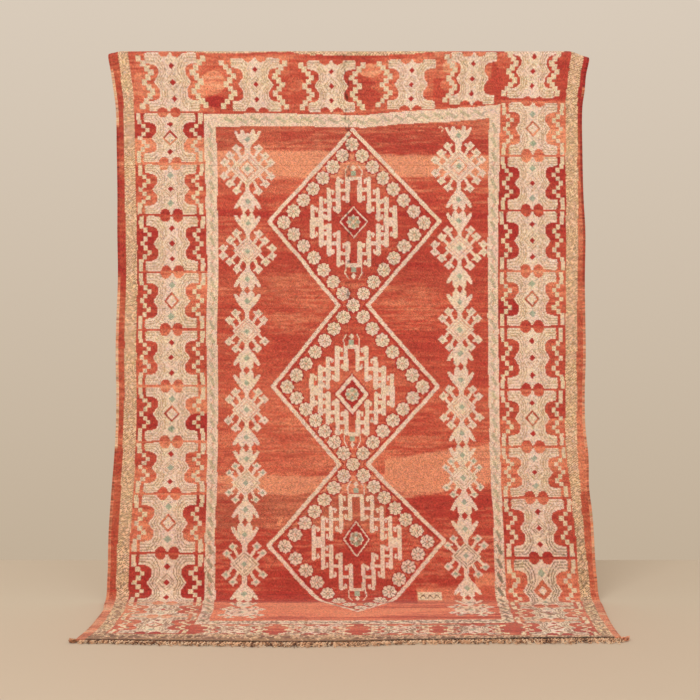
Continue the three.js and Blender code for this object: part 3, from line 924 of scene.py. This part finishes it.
# Dirty knots on the laid end, and painted light: how much lighter all its pale ones are made, as the laid
# end faces up to the light
FLECKS = {"pale": 0.66, "red": 0.2, "above": 0.3, "lift": 0.25, "cells": (4.5, 1.9), "seed": 18}
FADE = {"by": 0.05, "cells": (30, 30), "seed": 13}
CAST = {"by": (0.0, -0.03, 0.04), "cells": (8, 10), "seed": 15}  # pale wool is pink here and yellow there
SPECKLE = {"all": 0.19, "red": 0.05, "blue": 0.08}
LOW_LINES = {"from": 1780, "to": 1980, "by": 0.5, "left": 0.6}  # the brown lines are darker low down
# Painted shadow: the last rows of knots are darkened for the shade under the pile's front edge
FRONT_SHADE = {"rows": 2, "by": 0.75}  # where the last knots meet the flat-woven end
WORN = 0.1  # the share of the thin brown lines' knots that have faded
# Darker knots along the crease down the upper rug: partly wear of the pile, partly painted shade in the
# fold
CREASE_WEAR_AND_SHADE = {"by": 0.7, "half_width": 0.014, "until": (900, 1300), "cells": (3, 1.6), "seed": 16}  # crease


def linear(colour):
    """Blender's linear colour for one given from 0 to 255."""
    share = np.asarray(colour, float) / 255
    return np.where(share <= 0.04045, share / 12.92, ((share + 0.055) / 1.055) ** 2.4)


def blend(colours, amount, ink):
    return colours + amount * (ink - colours)


def soiled_shaded_and_lit(weave, colours, reds, laid, inks):
    """Colours with the darker lines low down, darker towards the front end with a painted shadow on its
    last rows, the dirt flecks near it, and painted light on the laid end's pale knots.
    """
    thin = np.isin(weave.yarn, (BROWN, OLIVE, TAUPE, LEAF))
    low = thin * smoothstep(weave.v, LOW_LINES["from"], LOW_LINES["to"])
    low = low * np.where(weave.u > 0, 1, LOW_LINES["left"])
    colours = colours * (1 - LOW_LINES["by"] * low[..., None])
    colours = colours * (1 - FRONT_DARKENING["by"] * weave.front[..., None])
    # Painted shadow under the pile's front edge: the last rows are darkened
    colours[-FRONT_SHADE["rows"]:] *= 1 - FRONT_SHADE["by"]
    flecks = (laid * (weave.noise(FLECKS) > FLECKS["above"]))[..., None]
    colours = blend(colours, flecks * np.where(reds, FLECKS["red"], FLECKS["pale"]), inks[UMBER])
    # Painted light: the laid end's pale knots are made lighter, as it faces up to the light
    return colours * (1 + FLECKS["lift"] * laid[..., None] * ~reds)


def lots_and_laid_sheen(weave, colours, reds, ragged, inks):
    share = weave.u / HALF_WIDTH
    for start, end, soft, (left, right), rise, *runs in LOTS_AND_LAID_SHEEN:
        v = ragged - rise * (share - left)
        amount = smoothstep(v, start - soft, start + soft) * (1 - smoothstep(v, end - soft, end + soft))
        amount = amount * weave.field * (share >= left) * (share < right)
        for ink, far in runs:
            colours = blend(colours, (amount * far)[..., None] * reds, inks[ink])
    return colours


def tones(weave, ragged, laid):
    """The tone of every red knot, from -1, crimson, to 1, salmon, and on to 2, pale."""
    far_left, left, right, far_right = (row_of(EDGE_REDS, n, ragged) for n in range(1, 5))
    outer = smoothstep(np.abs(weave.across), *EDGE_SPLIT)
    bands = np.where(weave.u < 0, blend(left, outer, far_left), blend(right, outer, far_right))
    tone = np.where(weave.edge, bands, weave.tone)
    for kind in UNEVEN:
        tone = tone + kind["by"] * weave.noise(kind)
    return tone + LAID["by"] * laid * weave.noise(LAID)


def faded(weave, reds):
    """How light each knot is, and its cast: fading, the crease's wear of the pile and painted shade in its
    fold, and pale wool's own tints.
    """
    fade = 1 + FADE["by"] * weave.noise(FADE)[..., None]
    # Along the crease: partly wear of the pile, partly painted shade in the fold
    wear_and_fold_shade = np.exp(-((weave.across - CREASE["across"]) / CREASE_WEAR_AND_SHADE["half_width"]) ** 2)
    wear_and_fold_shade = wear_and_fold_shade * (1 - smoothstep(weave.v, *CREASE_WEAR_AND_SHADE["until"])) * weave.noise(CREASE_WEAR_AND_SHADE)
    fade = fade * (1 - CREASE_WEAR_AND_SHADE["by"] * np.clip(wear_and_fold_shade + wear_and_fold_shade ** 2, 0, 1)[..., None])
    return fade * (1 + ~reds * np.array(CAST["by"]) * weave.noise(CAST)[..., None])


def dye(weave):
    """The colour of every knot."""
    inks = np.array([linear(INKS[n]) for n in range(len(INKS))])
    weave.yarn[(weave.yarn == BROWN) & (RANDOM.uniform(size=weave.shape) < WORN)] = CREAM
    reds = np.isin(weave.yarn, (GROUND, EDGE))[..., None]
    laid = smoothstep(weave.v, LAID["from"], LAID["to"])
    ragged = weave.v + sum(kind["by"] * weave.noise(kind) for kind in RAGGED)
    colours = soiled_shaded_and_lit(weave, inks[weave.yarn], reds, laid, inks)
    colours = lots_and_laid_sheen(weave, colours, reds, ragged, inks)
    tone = tones(weave, ragged, laid)
    for amount, ink in ((-tone, DEEP), (tone, SALMON), (tone - 1, GUARD)):
        colours = blend(colours, np.clip(amount, 0, 1)[..., None] * reds, inks[ink])
    light, red, blue = (RANDOM.standard_normal(weave.shape) for _ in range(3))
    tints = np.stack([SPECKLE["red"] * red, 0 * red, SPECKLE["blue"] * blue], -1)
    speckle = 1 + SPECKLE["all"] * light[..., None] + tints
    return np.clip(colours * faded(weave, reds) * speckle, 0, 1)


# How finely the pieces of cloth are made
BANDS = 5
BAND_STEP = 4  # knots to a face on a band's hidden side
PILE_FOOT = -0.0012  # a band's hidden side, out from mid thickness
PILE_RELIEF = {"knots": 0.0004, "swells": 0.0006, "cells": (16, 20), "seed": 21}
SOFTEN = 0.26  # how far the colours of neighbouring knots run into each other
BACK = {"across": 200, "down": 288, "step": 4, "share": 0.994, "face": -THICKNESS / 2, "front": 0.0008}
BACK_FADE = 0.25  # the knots' backs are browner
MAP = {"fine": ((0.01, 0.11), (0.99, 0.99)), "coarse": ((0.01, 0.005), (0.99, 0.085)), "rim": 0.008}


def put(name, data, place=(0, 0, 0), turn=(0, 0, 0)):
    """A new object in the scene."""
    thing = bpy.data.objects.new(name, data)
    thing.location = place
    thing.rotation_euler = turn
    bpy.context.collection.objects.link(thing)
    return thing


def make_mesh(name, points, quads, triangles, smooth, colours, cloth_map=None, bake_map=None):
    """A mesh object from arrays. The last three hold a row for each corner of each face."""
    mesh = bpy.data.meshes.new(name)
    corners = np.concatenate([quads.ravel(), triangles.ravel()]).astype(np.int32)
    starts = np.concatenate([np.arange(len(quads)) * 4, quads.size + np.arange(len(triangles)) * 3])
    mesh.vertices.add(len(points))
    mesh.vertices.foreach_set("co", points.astype(np.float32).ravel())
    mesh.loops.add(len(corners))
    mesh.loops.foreach_set("vertex_index", corners)
    mesh.polygons.add(len(starts))
    mesh.polygons.foreach_set("loop_start", starts.astype(np.int32))
    mesh.update(calc_edges=True)
    mesh.polygons.foreach_set("use_smooth", smooth)
    for layer, places in (("cloth", cloth_map), ("OFBake", bake_map)):
        if places is not None:
            mesh.uv_layers.new(name=layer).uv.foreach_set("vector", places.astype(np.float32).ravel())
    attribute = mesh.color_attributes.new("dye", "FLOAT_COLOR", "CORNER")
    alpha = np.ones((len(colours), 1))
    attribute.data.foreach_set("color", np.hstack([colours, alpha]).astype(np.float32).ravel())
    mesh.validate()
    return put(name, mesh)


def cells(grid):
    """The four corners of each cell of a grid of numbers or places."""
    return np.stack([grid[:-1, :-1], grid[1:, :-1], grid[1:, 1:], grid[:-1, 1:]], 2)


def even_map(shape, low, high):
    """An even grid of places on the bake map, its first row at the top."""
    x = np.linspace(low[0], high[0], shape[1])
    y = np.linspace(high[1], low[1], shape[0])
    return np.stack(np.meshgrid(x, y), -1)


def slab(name, fine, coarse, steps, colours, pile_side=True):
    """A closed slab of cloth between a fine grid of points and a coarse one at its hidden side,
    each with its places on the cloth. Steps are the fine rows and columns to each coarse one,
    and colours are those of the fine faces' corners."""
    (points, places), (coarse_points, coarse_places) = fine, coarse
    number = np.arange(points[..., 0].size).reshape(points.shape[:2])
    other = number.size + np.arange(coarse_points[..., 0].size).reshape(coarse_points.shape[:2])
    spread, coarse_spread = even_map(number.shape, *MAP["fine"]), even_map(other.shape, *MAP["coarse"])
    flat = colours.mean(2)
    rows, columns = np.array(other.shape) - 1
    blocks = flat.reshape(rows, steps[0], columns, steps[1], 3).mean((1, 3))
    quads = [[cells(a), cells(b)[:, :, ::-1]]
             for a, b in ((number, other), (places, coarse_places), (spread, coarse_spread))]
    quads.append([colours, np.repeat(blocks[:, :, None], 4, 2)])
    # The rim, one side after the other, the way round that the pile side's faces run
    sides = [
        (np.s_[:, 0], steps[0], (-1, 0), flat[:, 0]),
        (np.s_[-1], steps[1], (0, -1), flat[-1]),
        (np.s_[::-1, -1], steps[0], (1, 0), flat[::-1, -1]),
        (np.s_[0, ::-1], steps[1], (0, 1), flat[0, ::-1]),
    ]
    triangles = [[] for _ in quads]
    for side, step, outward, shades in sides:
        rim = spread[side][::step] + np.array(outward) * MAP["rim"]
        k = np.arange(len(number[side]) - 1)
        end = k // step + (k % step >= step // 2)
        m = np.arange(len(other[side]) - 1)
        middle = m * step + step // 2
        pairs = ((number[side], other[side]), (places[side], coarse_places[side]), (spread[side], rim))
        for made, (a, b) in zip(triangles, pairs):
            made += [np.stack([a[k + 1], a[k], b[end]], 1), np.stack([a[middle], b[m], b[m + 1]], 1)]
        triangles[-1] += [np.repeat(shades[n][:, None], 3, 1) for n in (k, m * step)]
    way = 1 if pile_side else -1
    quads = [np.concatenate([x.reshape(-1, 4, *x.shape[3:]) for x in group])[:, ::way] for group in quads]
    triangles = [np.concatenate(group)[:, ::way] for group in triangles]
    *maps, dyes = (np.concatenate([x.reshape(-1, x.shape[-1]) for x in both])
                   for both in list(zip(quads, triangles))[1:])
    smooth = np.arange(len(quads[0]) + len(triangles[0])) < len(quads[0])
    points = np.concatenate([points.reshape(-1, 3), coarse_points.reshape(-1, 3)])
    return make_mesh(name, points, quads[0], triangles[0], smooth, dyes, *maps)


def cloth_grid(rows, across, out):
    """Points of the rug, and their places on the cloth in metres, for rows counted in knots."""
    along, share = (x[:, None] for x in knot_rows(rows))
    points = cloth(across, along, share, out)
    reach, _ = through(FRONT, across)
    down = along + share * (reach - BEND_RADIUS)
    return points, np.stack([np.broadcast_to(across * HALF_WIDTH * MM, down.shape), -down], -1)


def corner_colours(colours):
    """Each knot's colour at its four corners, softened towards its neighbours."""
    wide = np.pad(colours, ((1, 1), (1, 1), (0, 0)), mode="edge")
    shared = (wide[:-1, :-1] + wide[1:, :-1] + wide[1:, 1:] + wide[:-1, 1:]) / 4
    return colours[:, :, None] * (1 - SOFTEN) + cells(shared) * SOFTEN


def pile(colours):
    """The knotted pile, in bands from the turned-over end to the front end."""
    across = np.linspace(-PILE_SHARE, PILE_SHARE, KNOTS["across"] + 1)
    shape = (ROWS + 1, len(across))
    relief = PILE_RELIEF["knots"] * RANDOM.uniform(-1, 1, shape)
    relief += PILE_RELIEF["swells"] * smooth_noise(shape, PILE_RELIEF)
    corners = corner_colours(colours)
    bands, height = [], ROWS // BANDS
    for n in range(BANDS):
        knots = np.arange(n * height, (n + 1) * height + 1)
        fine = cloth_grid(knots, across, THICKNESS / 2 + relief[knots])
        coarse = cloth_grid(knots[::BAND_STEP], across[::BAND_STEP], PILE_FOOT)
        steps = (BAND_STEP, BAND_STEP)
        bands.append(slab(f"pile_band_{n + 1}", fine, coarse, steps, corners[knots[:-1]]))
    return bands


def foundation(colours):
    """The warps and wefts that hold the pile, with the knots' backs behind."""
    rows = np.linspace(0, ROWS, BACK["down"] + 1)
    across = np.linspace(-BACK["share"], BACK["share"], BACK["across"] + 1)
    fine = cloth_grid(rows, across, BACK["face"])
    coarse = cloth_grid(rows, across[::BACK["step"]], BACK["front"])
    middle_rows = ((rows[:-1] + rows[1:]) / 2).astype(int)
    middle_columns = ((across[:-1] + across[1:]) / 2 / PILE_SHARE + 1) / 2 * KNOTS["across"]
    middle_columns = np.clip(middle_columns.astype(int), 0, KNOTS["across"] - 1)
    shades = colours[np.ix_(middle_rows, middle_columns)]
    corners = corner_colours(shades * (1 - BACK_FADE) + linear(INKS[TAN]) * BACK_FADE)
    return slab("foundation", fine, coarse, (1, BACK["step"]), corners, pile_side=False)


def tubes(name, centres, ways, ups, radius, shades, sides):
    """Round yarns. For each, its middle's points, the ways across and up at each, and its
    radius and colour there."""
    yarns, steps = centres.shape[:2]
    turn = np.arange(sides) * 2 * math.pi / sides
    ring = np.cos(turn)[:, None] * ways[:, :, None] + np.sin(turn)[:, None] * ups[:, :, None]
    points = (centres[:, :, None] + ring * radius[:, :, None, None]).reshape(-1, 3)
    number = np.arange(len(points)).reshape(yarns, steps, sides)
    after = np.roll(number, -1, 2)
    quads = np.stack([number[:, :-1], after[:, :-1], after[:, 1:], number[:, 1:]], -1).reshape(-1, 4)
    fans = [(number[:, 0, 0], number[:, 0, k + 1], number[:, 0, k]) for k in range(1, sides - 1)]
    fans += [(number[:, -1, 0], number[:, -1, k], number[:, -1, k + 1]) for k in range(1, sides - 1)]
    triangles = np.concatenate([np.stack(fan, -1) for fan in fans])
    point_shades = np.repeat(shades.reshape(-1, 3), sides, 0)
    colours = point_shades[np.concatenate([quads.ravel(), triangles.ravel()])]
    smooth = np.ones(len(quads) + len(triangles), bool)
    return make_mesh(name, points, quads, triangles, smooth, colours)


# The sides' overcast edges: radius, the wrapped yarn's grooves and how uneven they are, turns
# down the rug, and how dark and uneven the yarn is beside the nearest knots
SELVEDGE = {"radius": 0.0047, "groove": 0.12, "uneven": 0.05, "steps": 1200, "sides": 6, "inset": 0.0045,
            "shade": 0.95, "tint": 0.12}


def wound(name, kind, centre, way, up, shades, uneven=0):
    """A wrapped or twined yarn along a line of points. Every other one is in a groove."""
    grooves = 1 - kind["groove"] * (np.arange(len(centre)) % 2) + uneven
    way, up = (np.broadcast_to(a, centre.shape) for a in (way, up))
    radius = kind["radius"] * grooves
    return tubes(name, *(a[None] for a in (centre, way, up, radius, shades)), kind["sides"])


def selvedge(side, name, colours):
    rows = np.linspace(0, ROWS, SELVEDGE["steps"] + 1)
    along, share = knot_rows(rows)
    centre = cloth(side, along, share, 0.0, SELVEDGE["inset"])
    up = (cloth(side, along, share, MM, SELVEDGE["inset"]) - centre) / MM
    uneven = SELVEDGE["uneven"] * RANDOM.uniform(-1, 1, len(rows))
    knots = np.clip(rows.astype(int), 0, len(colours) - 1)
    near = colours[knots, 0 if side < 0 else -1]
    shades = near * (SELVEDGE["shade"] + SELVEDGE["tint"] * RANDOM.uniform(-1, 1, (len(rows), 1)))
    shades[0], shades[-1] = shades[1], shades[-2]
    return wound(name, SELVEDGE, centre, (1, 0, 0), up, shades, uneven)


# The fringe: its locks follow the solid's. Lengths in metres, angles in radians
LOCKS = {"count": 164, "inset": 0.018, "root": 0.004, "yarns": 4, "radius": 0.0017, "height": 0.003}
LEANS = [(3.25, 0.15, 0.2), (8.5, 0.6, 0.13)]
OWN_HEADING = (5.1, 0.1)
OWN_LENGTH = (2.3, 0.16)
LOCK_SPREAD = {"beside": 0.0028, "heading": 0.12, "length": (0.7, 1.08)}
# The fringe yarns' colours. The darkest strands are partly brown yarn and partly painted shadow for the
# gaps between the yarns.
FRINGE_INKS_AND_GAP_SHADOW = [
    (252, 214, 178), (168, 122, 92), (255, 228, 198), (116, 78, 58), (250, 204, 166), (222, 174, 138),
]
# A twisted yarn: how far its ends are from the lock's middle at the root and more at the tip,
# how often it goes round, how it bows, how much thinner it ends, and its own size and shade
YARN = {
    "steps": 12, "sides": 4, "loose": 0.0021, "root": 0.7, "fray": 1.8, "lift": 0.8, "turns": 2.0,
    "turn_range": (0.7, 1.4), "bow": 0.0022, "bow_range": (0.6, 1.5), "taper": 0.35,
    "size_range": (0.8, 1.15), "shade_range": (0.85, 1.1),
}
# The twined row that holds the warps' ends: its place behind the edge and above the floor
TWINING = {"steps": 700, "back": 0.002, "height": 0.0036, "radius": 0.003, "groove": 0.22, "sides": 5,
           "colour": (206, 160, 122), "shade_range": (0.8, 1.1)}
# The corner tufts: which way their yarns fan out from the front, and how long each is by its place
TUFTS = [
    {"name": "left", "side": -1, "stretch": 0.8,
     "inks": [(212, 146, 106), (168, 108, 76), (224, 166, 126)]},
    {"name": "right", "side": 1, "stretch": 1.1,
     "inks": [(244, 168, 134), (228, 138, 104), (250, 192, 160)]},
]
TUFT = {
    "yarns": 16, "spread": 1.7, "radius": 0.0019, "height": 0.005, "length": 0.019, "headings": (0.2, 1.45),
    "uneven": 0.15, "shares": (0.75, 0.35), "length_range": (0.85, 1.1), "beside": 0.003, "ahead": 0.004,
}


def edge_line(across):
    """The front end's line on the floor, and the fringe's reach beyond it."""
    reach, fringe = through(FRONT, across)
    left, right, _, _ = through(EDGES, BEND_END + reach - BEND_RADIUS)
    x = left + (right - left) * (across + 1) / 2 + HANG_X
    return x, HANG_Y - reach, fringe


def yarn_bunch(name, roots, height, heading, length, radius, inks, spread=1):
    """Twisted yarns that lie on the floor: their roots, ways from -Y towards +X, and lengths."""
    x, y = (a[:, None] for a in roots)
    count = len(x)
    share = np.linspace(0, 1, YARN["steps"] + 1)
    phase = RANDOM.uniform(0, 2 * math.pi, (count, 1))
    turns = YARN["turns"] * RANDOM.uniform(*YARN["turn_range"], (count, 1))
    turn = phase + 2 * math.pi * turns * share
    loose = YARN["loose"] * (YARN["root"] + YARN["fray"] * share) * spread
    waves = RANDOM.uniform(*YARN["bow_range"], (count, 1))
    bow = YARN["bow"] * np.sin(2 * math.pi * (share * waves + phase))
    ahead = length[:, None] * share
    sideways = loose * np.cos(turn) + bow * share
    z = radius + height * (1 - share) ** 2 + loose * (1 + np.sin(turn)) * YARN["lift"]
    sin, cos = np.sin(heading)[:, None], np.cos(heading)[:, None]
    centres = np.stack([x + sin * ahead + cos * sideways, y - cos * ahead + sin * sideways, z], -1)
    tangent = np.gradient(centres, axis=1)
    tangent /= np.linalg.norm(tangent, axis=2, keepdims=True)
    way = np.cross(tangent, (0, 0, 1.0))
    way /= np.linalg.norm(way, axis=2, keepdims=True)
    sizes = radius * (1 - YARN["taper"] * share) * RANDOM.uniform(*YARN["size_range"], (count, 1))
    shades = linear(np.array(inks)[RANDOM.integers(0, len(inks), count)])
    shades = shades[:, None] * RANDOM.uniform(*YARN["shade_range"], (count, len(share), 1))
    return tubes(name, centres, -way, np.cross(way, tangent), sizes, shades, YARN["sides"])


def fringe():
    count, end = LOCKS["count"], 1 - LOCKS["inset"]
    number = np.arange(count)
    across = -end + 2 * end * number / (count - 1)
    x, y, reach = edge_line(across)
    heading = OWN_HEADING[1] * np.sin(OWN_HEADING[0] * number)
    for swings, phase, angle in LEANS:
        heading += angle * np.sin(2 * math.pi * (swings * across + phase))
    length = reach * (1 + OWN_LENGTH[1] * np.sin(OWN_LENGTH[0] * number))
    x, y, heading, length = (np.repeat(a, LOCKS["yarns"]) for a in (x, y, heading, length))
    x = x + RANDOM.uniform(-LOCK_SPREAD["beside"], LOCK_SPREAD["beside"], len(x))
    heading = heading + RANDOM.uniform(-LOCK_SPREAD["heading"], LOCK_SPREAD["heading"], len(x))
    length = length * RANDOM.uniform(*LOCK_SPREAD["length"], len(x)) + LOCKS["root"]
    roots = (x, y + LOCKS["root"])
    return yarn_bunch("fringe_yarns", roots, LOCKS["height"], heading, length, LOCKS["radius"], FRINGE_INKS_AND_GAP_SHADOW)


def end_strip():
    """The twined row that holds the warps' ends."""
    x, y, _ = edge_line(np.linspace(-1, 1, TWINING["steps"]))
    centre = np.stack([x, y - TWINING["back"], np.full(len(x), TWINING["height"])], -1)
    shades = linear(TWINING["colour"]) * RANDOM.uniform(*TWINING["shade_range"], (len(x), 1))
    return wound("end_twining", TWINING, centre, (0, -1, 0), (0, 0, 1), shades)


def corner_tuft(tuft):
    x, y, _ = edge_line(np.array([tuft["side"]], float))
    count = TUFT["yarns"]
    share = np.linspace(0, 1, count)
    low, high = TUFT["headings"]
    shortest, more = TUFT["shares"]
    heading = tuft["side"] * (low + (high - low) * share)
    heading = heading + RANDOM.uniform(-TUFT["uneven"], TUFT["uneven"], count)
    length = TUFT["length"] * tuft["stretch"] * (shortest + more * share)
    length = length * RANDOM.uniform(*TUFT["length_range"], count)
    x = x + RANDOM.uniform(-TUFT["beside"], TUFT["beside"], count)
    y = y - TUFT["ahead"] + TUFT["beside"] * RANDOM.uniform(-1, 1, count)
    return yarn_bunch(f"tuft_yarns_{tuft['name']}", (x, y), TUFT["height"], heading, length, TUFT["radius"],
                      tuft["inks"], TUFT["spread"])


def wire(tree, made, sockets):
    """Gives each named socket of a shader node a value, or another node's output to follow."""
    for name, given in sockets.items():
        if isinstance(given, bpy.types.NodeSocket):
            tree.links.new(given, made.inputs[name])
        else:
            made.inputs[name].default_value = given


def node(tree, kind, sockets=(), **settings):
    """A new shader node."""
    made = tree.nodes.new(f"ShaderNode{kind}")
    for name, value in settings.items():
        setattr(made, name, value)
    wire(tree, made, dict(sockets))
    return made


def new_material(name):
    material = bpy.data.materials.new(name)
    material.use_nodes = True
    return material, material.node_tree


def wool(name, fibre, knot, sheen):
    """Dyed wool: the yarn's colour with fibres across it, and a soft relief."""
    material, tree = new_material(name)
    dyed = node(tree, "Attribute", attribute_name="dye").outputs["Color"]
    place = node(tree, "TexCoord").outputs["Object"]
    fibres = node(tree, "TexNoise", {"Scale": fibre, "Detail": 3, "Vector": place}).outputs["Fac"]
    light = {"From Min": 0.3, "From Max": 0.7, "To Min": 0.84, "To Max": 1.12, "Value": fibres}
    light = node(tree, "MapRange", light).outputs["Result"]
    colour = node(tree, "VectorMath", {0: dyed, "Scale": light}, operation="SCALE").outputs["Vector"]
    tufts = node(tree, "TexVoronoi", {"Scale": knot, "Vector": place}).outputs["Distance"]
    relief = node(tree, "Math", {0: fibres, 1: tufts}, operation="SUBTRACT").outputs["Value"]
    bump = node(tree, "Bump", {"Strength": 0.5, "Distance": 0.0012, "Height": relief}).outputs["Normal"]
    wire(tree, tree.nodes["Principled BSDF"], {
        "Base Color": colour, "Normal": bump, "Roughness": 0.92, "Specular IOR Level": 0.25,
        "Sheen Weight": sheen, "Sheen Roughness": 0.6,
    })
    return material


def plain(name, colour):
    """A painted surface with a faint mottle."""
    material, tree = new_material(name)
    mottle = node(tree, "TexNoise", {"Scale": 3}).outputs["Fac"]
    shades = [(*linear(np.array(colour) * share), 1) for share in (1, 0.97)]
    mix = node(tree, "Mix", {6: shades[0], 7: shades[1], 0: mottle}, data_type="RGBA")
    wire(tree, tree.nodes["Principled BSDF"], {"Base Color": mix.outputs[2], "Roughness": 0.8})
    return material


def dress(piece, material, slot, *nodes):
    piece.data.materials.append(material)
    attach(piece, "root")
    if nodes:
        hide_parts(*nodes)


def build_rug():
    weave = weave_rug()
    colours = dye(weave)
    pile_wool = wool("pile_wool", 1400, 260, 0.15)
    yarn_wool = wool("yarn_wool", 1800, 700, 0.1)
    bands = pile(colours)
    for band in bands:
        dress(band, pile_wool, "wool_pile")
    back = foundation(colours)
    dress(back, yarn_wool, "warp_yarn", "rug")
    edges = [selvedge(-1, "selvedge_left", colours), selvedge(1, "selvedge_right", colours)]
    for edge in edges:
        dress(edge, yarn_wool, "selvedge_yarn")
    twining = end_strip()
    dress(twining, yarn_wool, "warp_yarn")
    yarns = fringe()
    dress(yarns, yarn_wool, "warp_yarn", "fringe")
    tufts = [corner_tuft(tuft) for tuft in TUFTS]
    for tuft, row in zip(tufts, TUFTS):
        dress(tuft, yarn_wool, "selvedge_yarn", f"corner_tuft_{row['name']}")


# The floor, which ends a little behind the rug, the light round it and the camera
FLOOR = {"half_width": 6, "front": -5, "back": 1.043, "colour": (214, 202, 185)}
WORLD = {"heights": (-0.2, 0.3), "colours": [(194, 176, 153), (217, 203, 186)], "strength": 1.0}
LIGHTS = [
    {"name": "key", "place": (-2.6, -6.0, 6.2), "aim": (0, 0.1, 0.7), "size": (3.4, 3.0), "watts": 250,
     "tint": (1, 0.97, 0.93)},
    {"name": "fill", "place": (2.6, -5.2, 1.8), "aim": (0, 0.1, 0.6), "size": (2.4, 2.4), "watts": 44,
     "tint": (1, 0.96, 0.92)},
]
CAMERA = {"lens": 53.23, "shift": -0.0143, "place": (HANG_X, -3.772, 1.0235), "turn": (math.pi / 2, 0, 0)}


def make_floor():
    mesh = bpy.data.meshes.new("floor")
    w, front, back = FLOOR["half_width"], FLOOR["front"], FLOOR["back"]
    mesh.from_pydata([(-w, front, 0), (w, front, 0), (w, back, 0), (-w, back, 0)], [], [(0, 1, 2, 3)])
    mesh.materials.append(plain("floor_paint", FLOOR["colour"]))
    floor = put("floor", mesh)


def make_world():
    """A soft light from all round, a little darker from below."""
    world = bpy.data.worlds.new("studio")
    bpy.context.scene.world = world
    world.use_nodes = True
    tree = world.node_tree
    low, high = WORLD["heights"]
    way = node(tree, "TexCoord").outputs["Generated"]
    height = node(tree, "SeparateXYZ", {0: way}).outputs["Z"]
    share = node(tree, "MapRange", {"From Min": low, "From Max": high, "Value": height}).outputs["Result"]
    ramp = node(tree, "ValToRGB", {"Fac": share})
    for stop, colour in zip(ramp.color_ramp.elements, WORLD["colours"]):
        stop.color = (*linear(colour), 1)
    wire(tree, tree.nodes["Background"], {"Color": ramp.outputs["Color"], "Strength": WORLD["strength"]})


def make_stage():
    make_floor()
    make_world()
    for row in LIGHTS:
        lamp = bpy.data.lights.new(row["name"], "AREA")
        lamp.shape = "RECTANGLE"
        lamp.size, lamp.size_y = row["size"]
        lamp.energy = row["watts"]
        lamp.color = row["tint"]
        aim = mathutils.Vector(row["aim"]) - mathutils.Vector(row["place"])
        put(row["name"], lamp, row["place"], aim.to_track_quat("-Z", "Y").to_euler())
    camera = bpy.data.cameras.new("camera")
    camera.lens = CAMERA["lens"]
    camera.shift_y = CAMERA["shift"]
    bpy.context.scene.camera = put("camera", camera, CAMERA["place"], CAMERA["turn"])
    bpy.context.scene.view_settings.view_transform = "Standard"


build_rug()
make_stage()
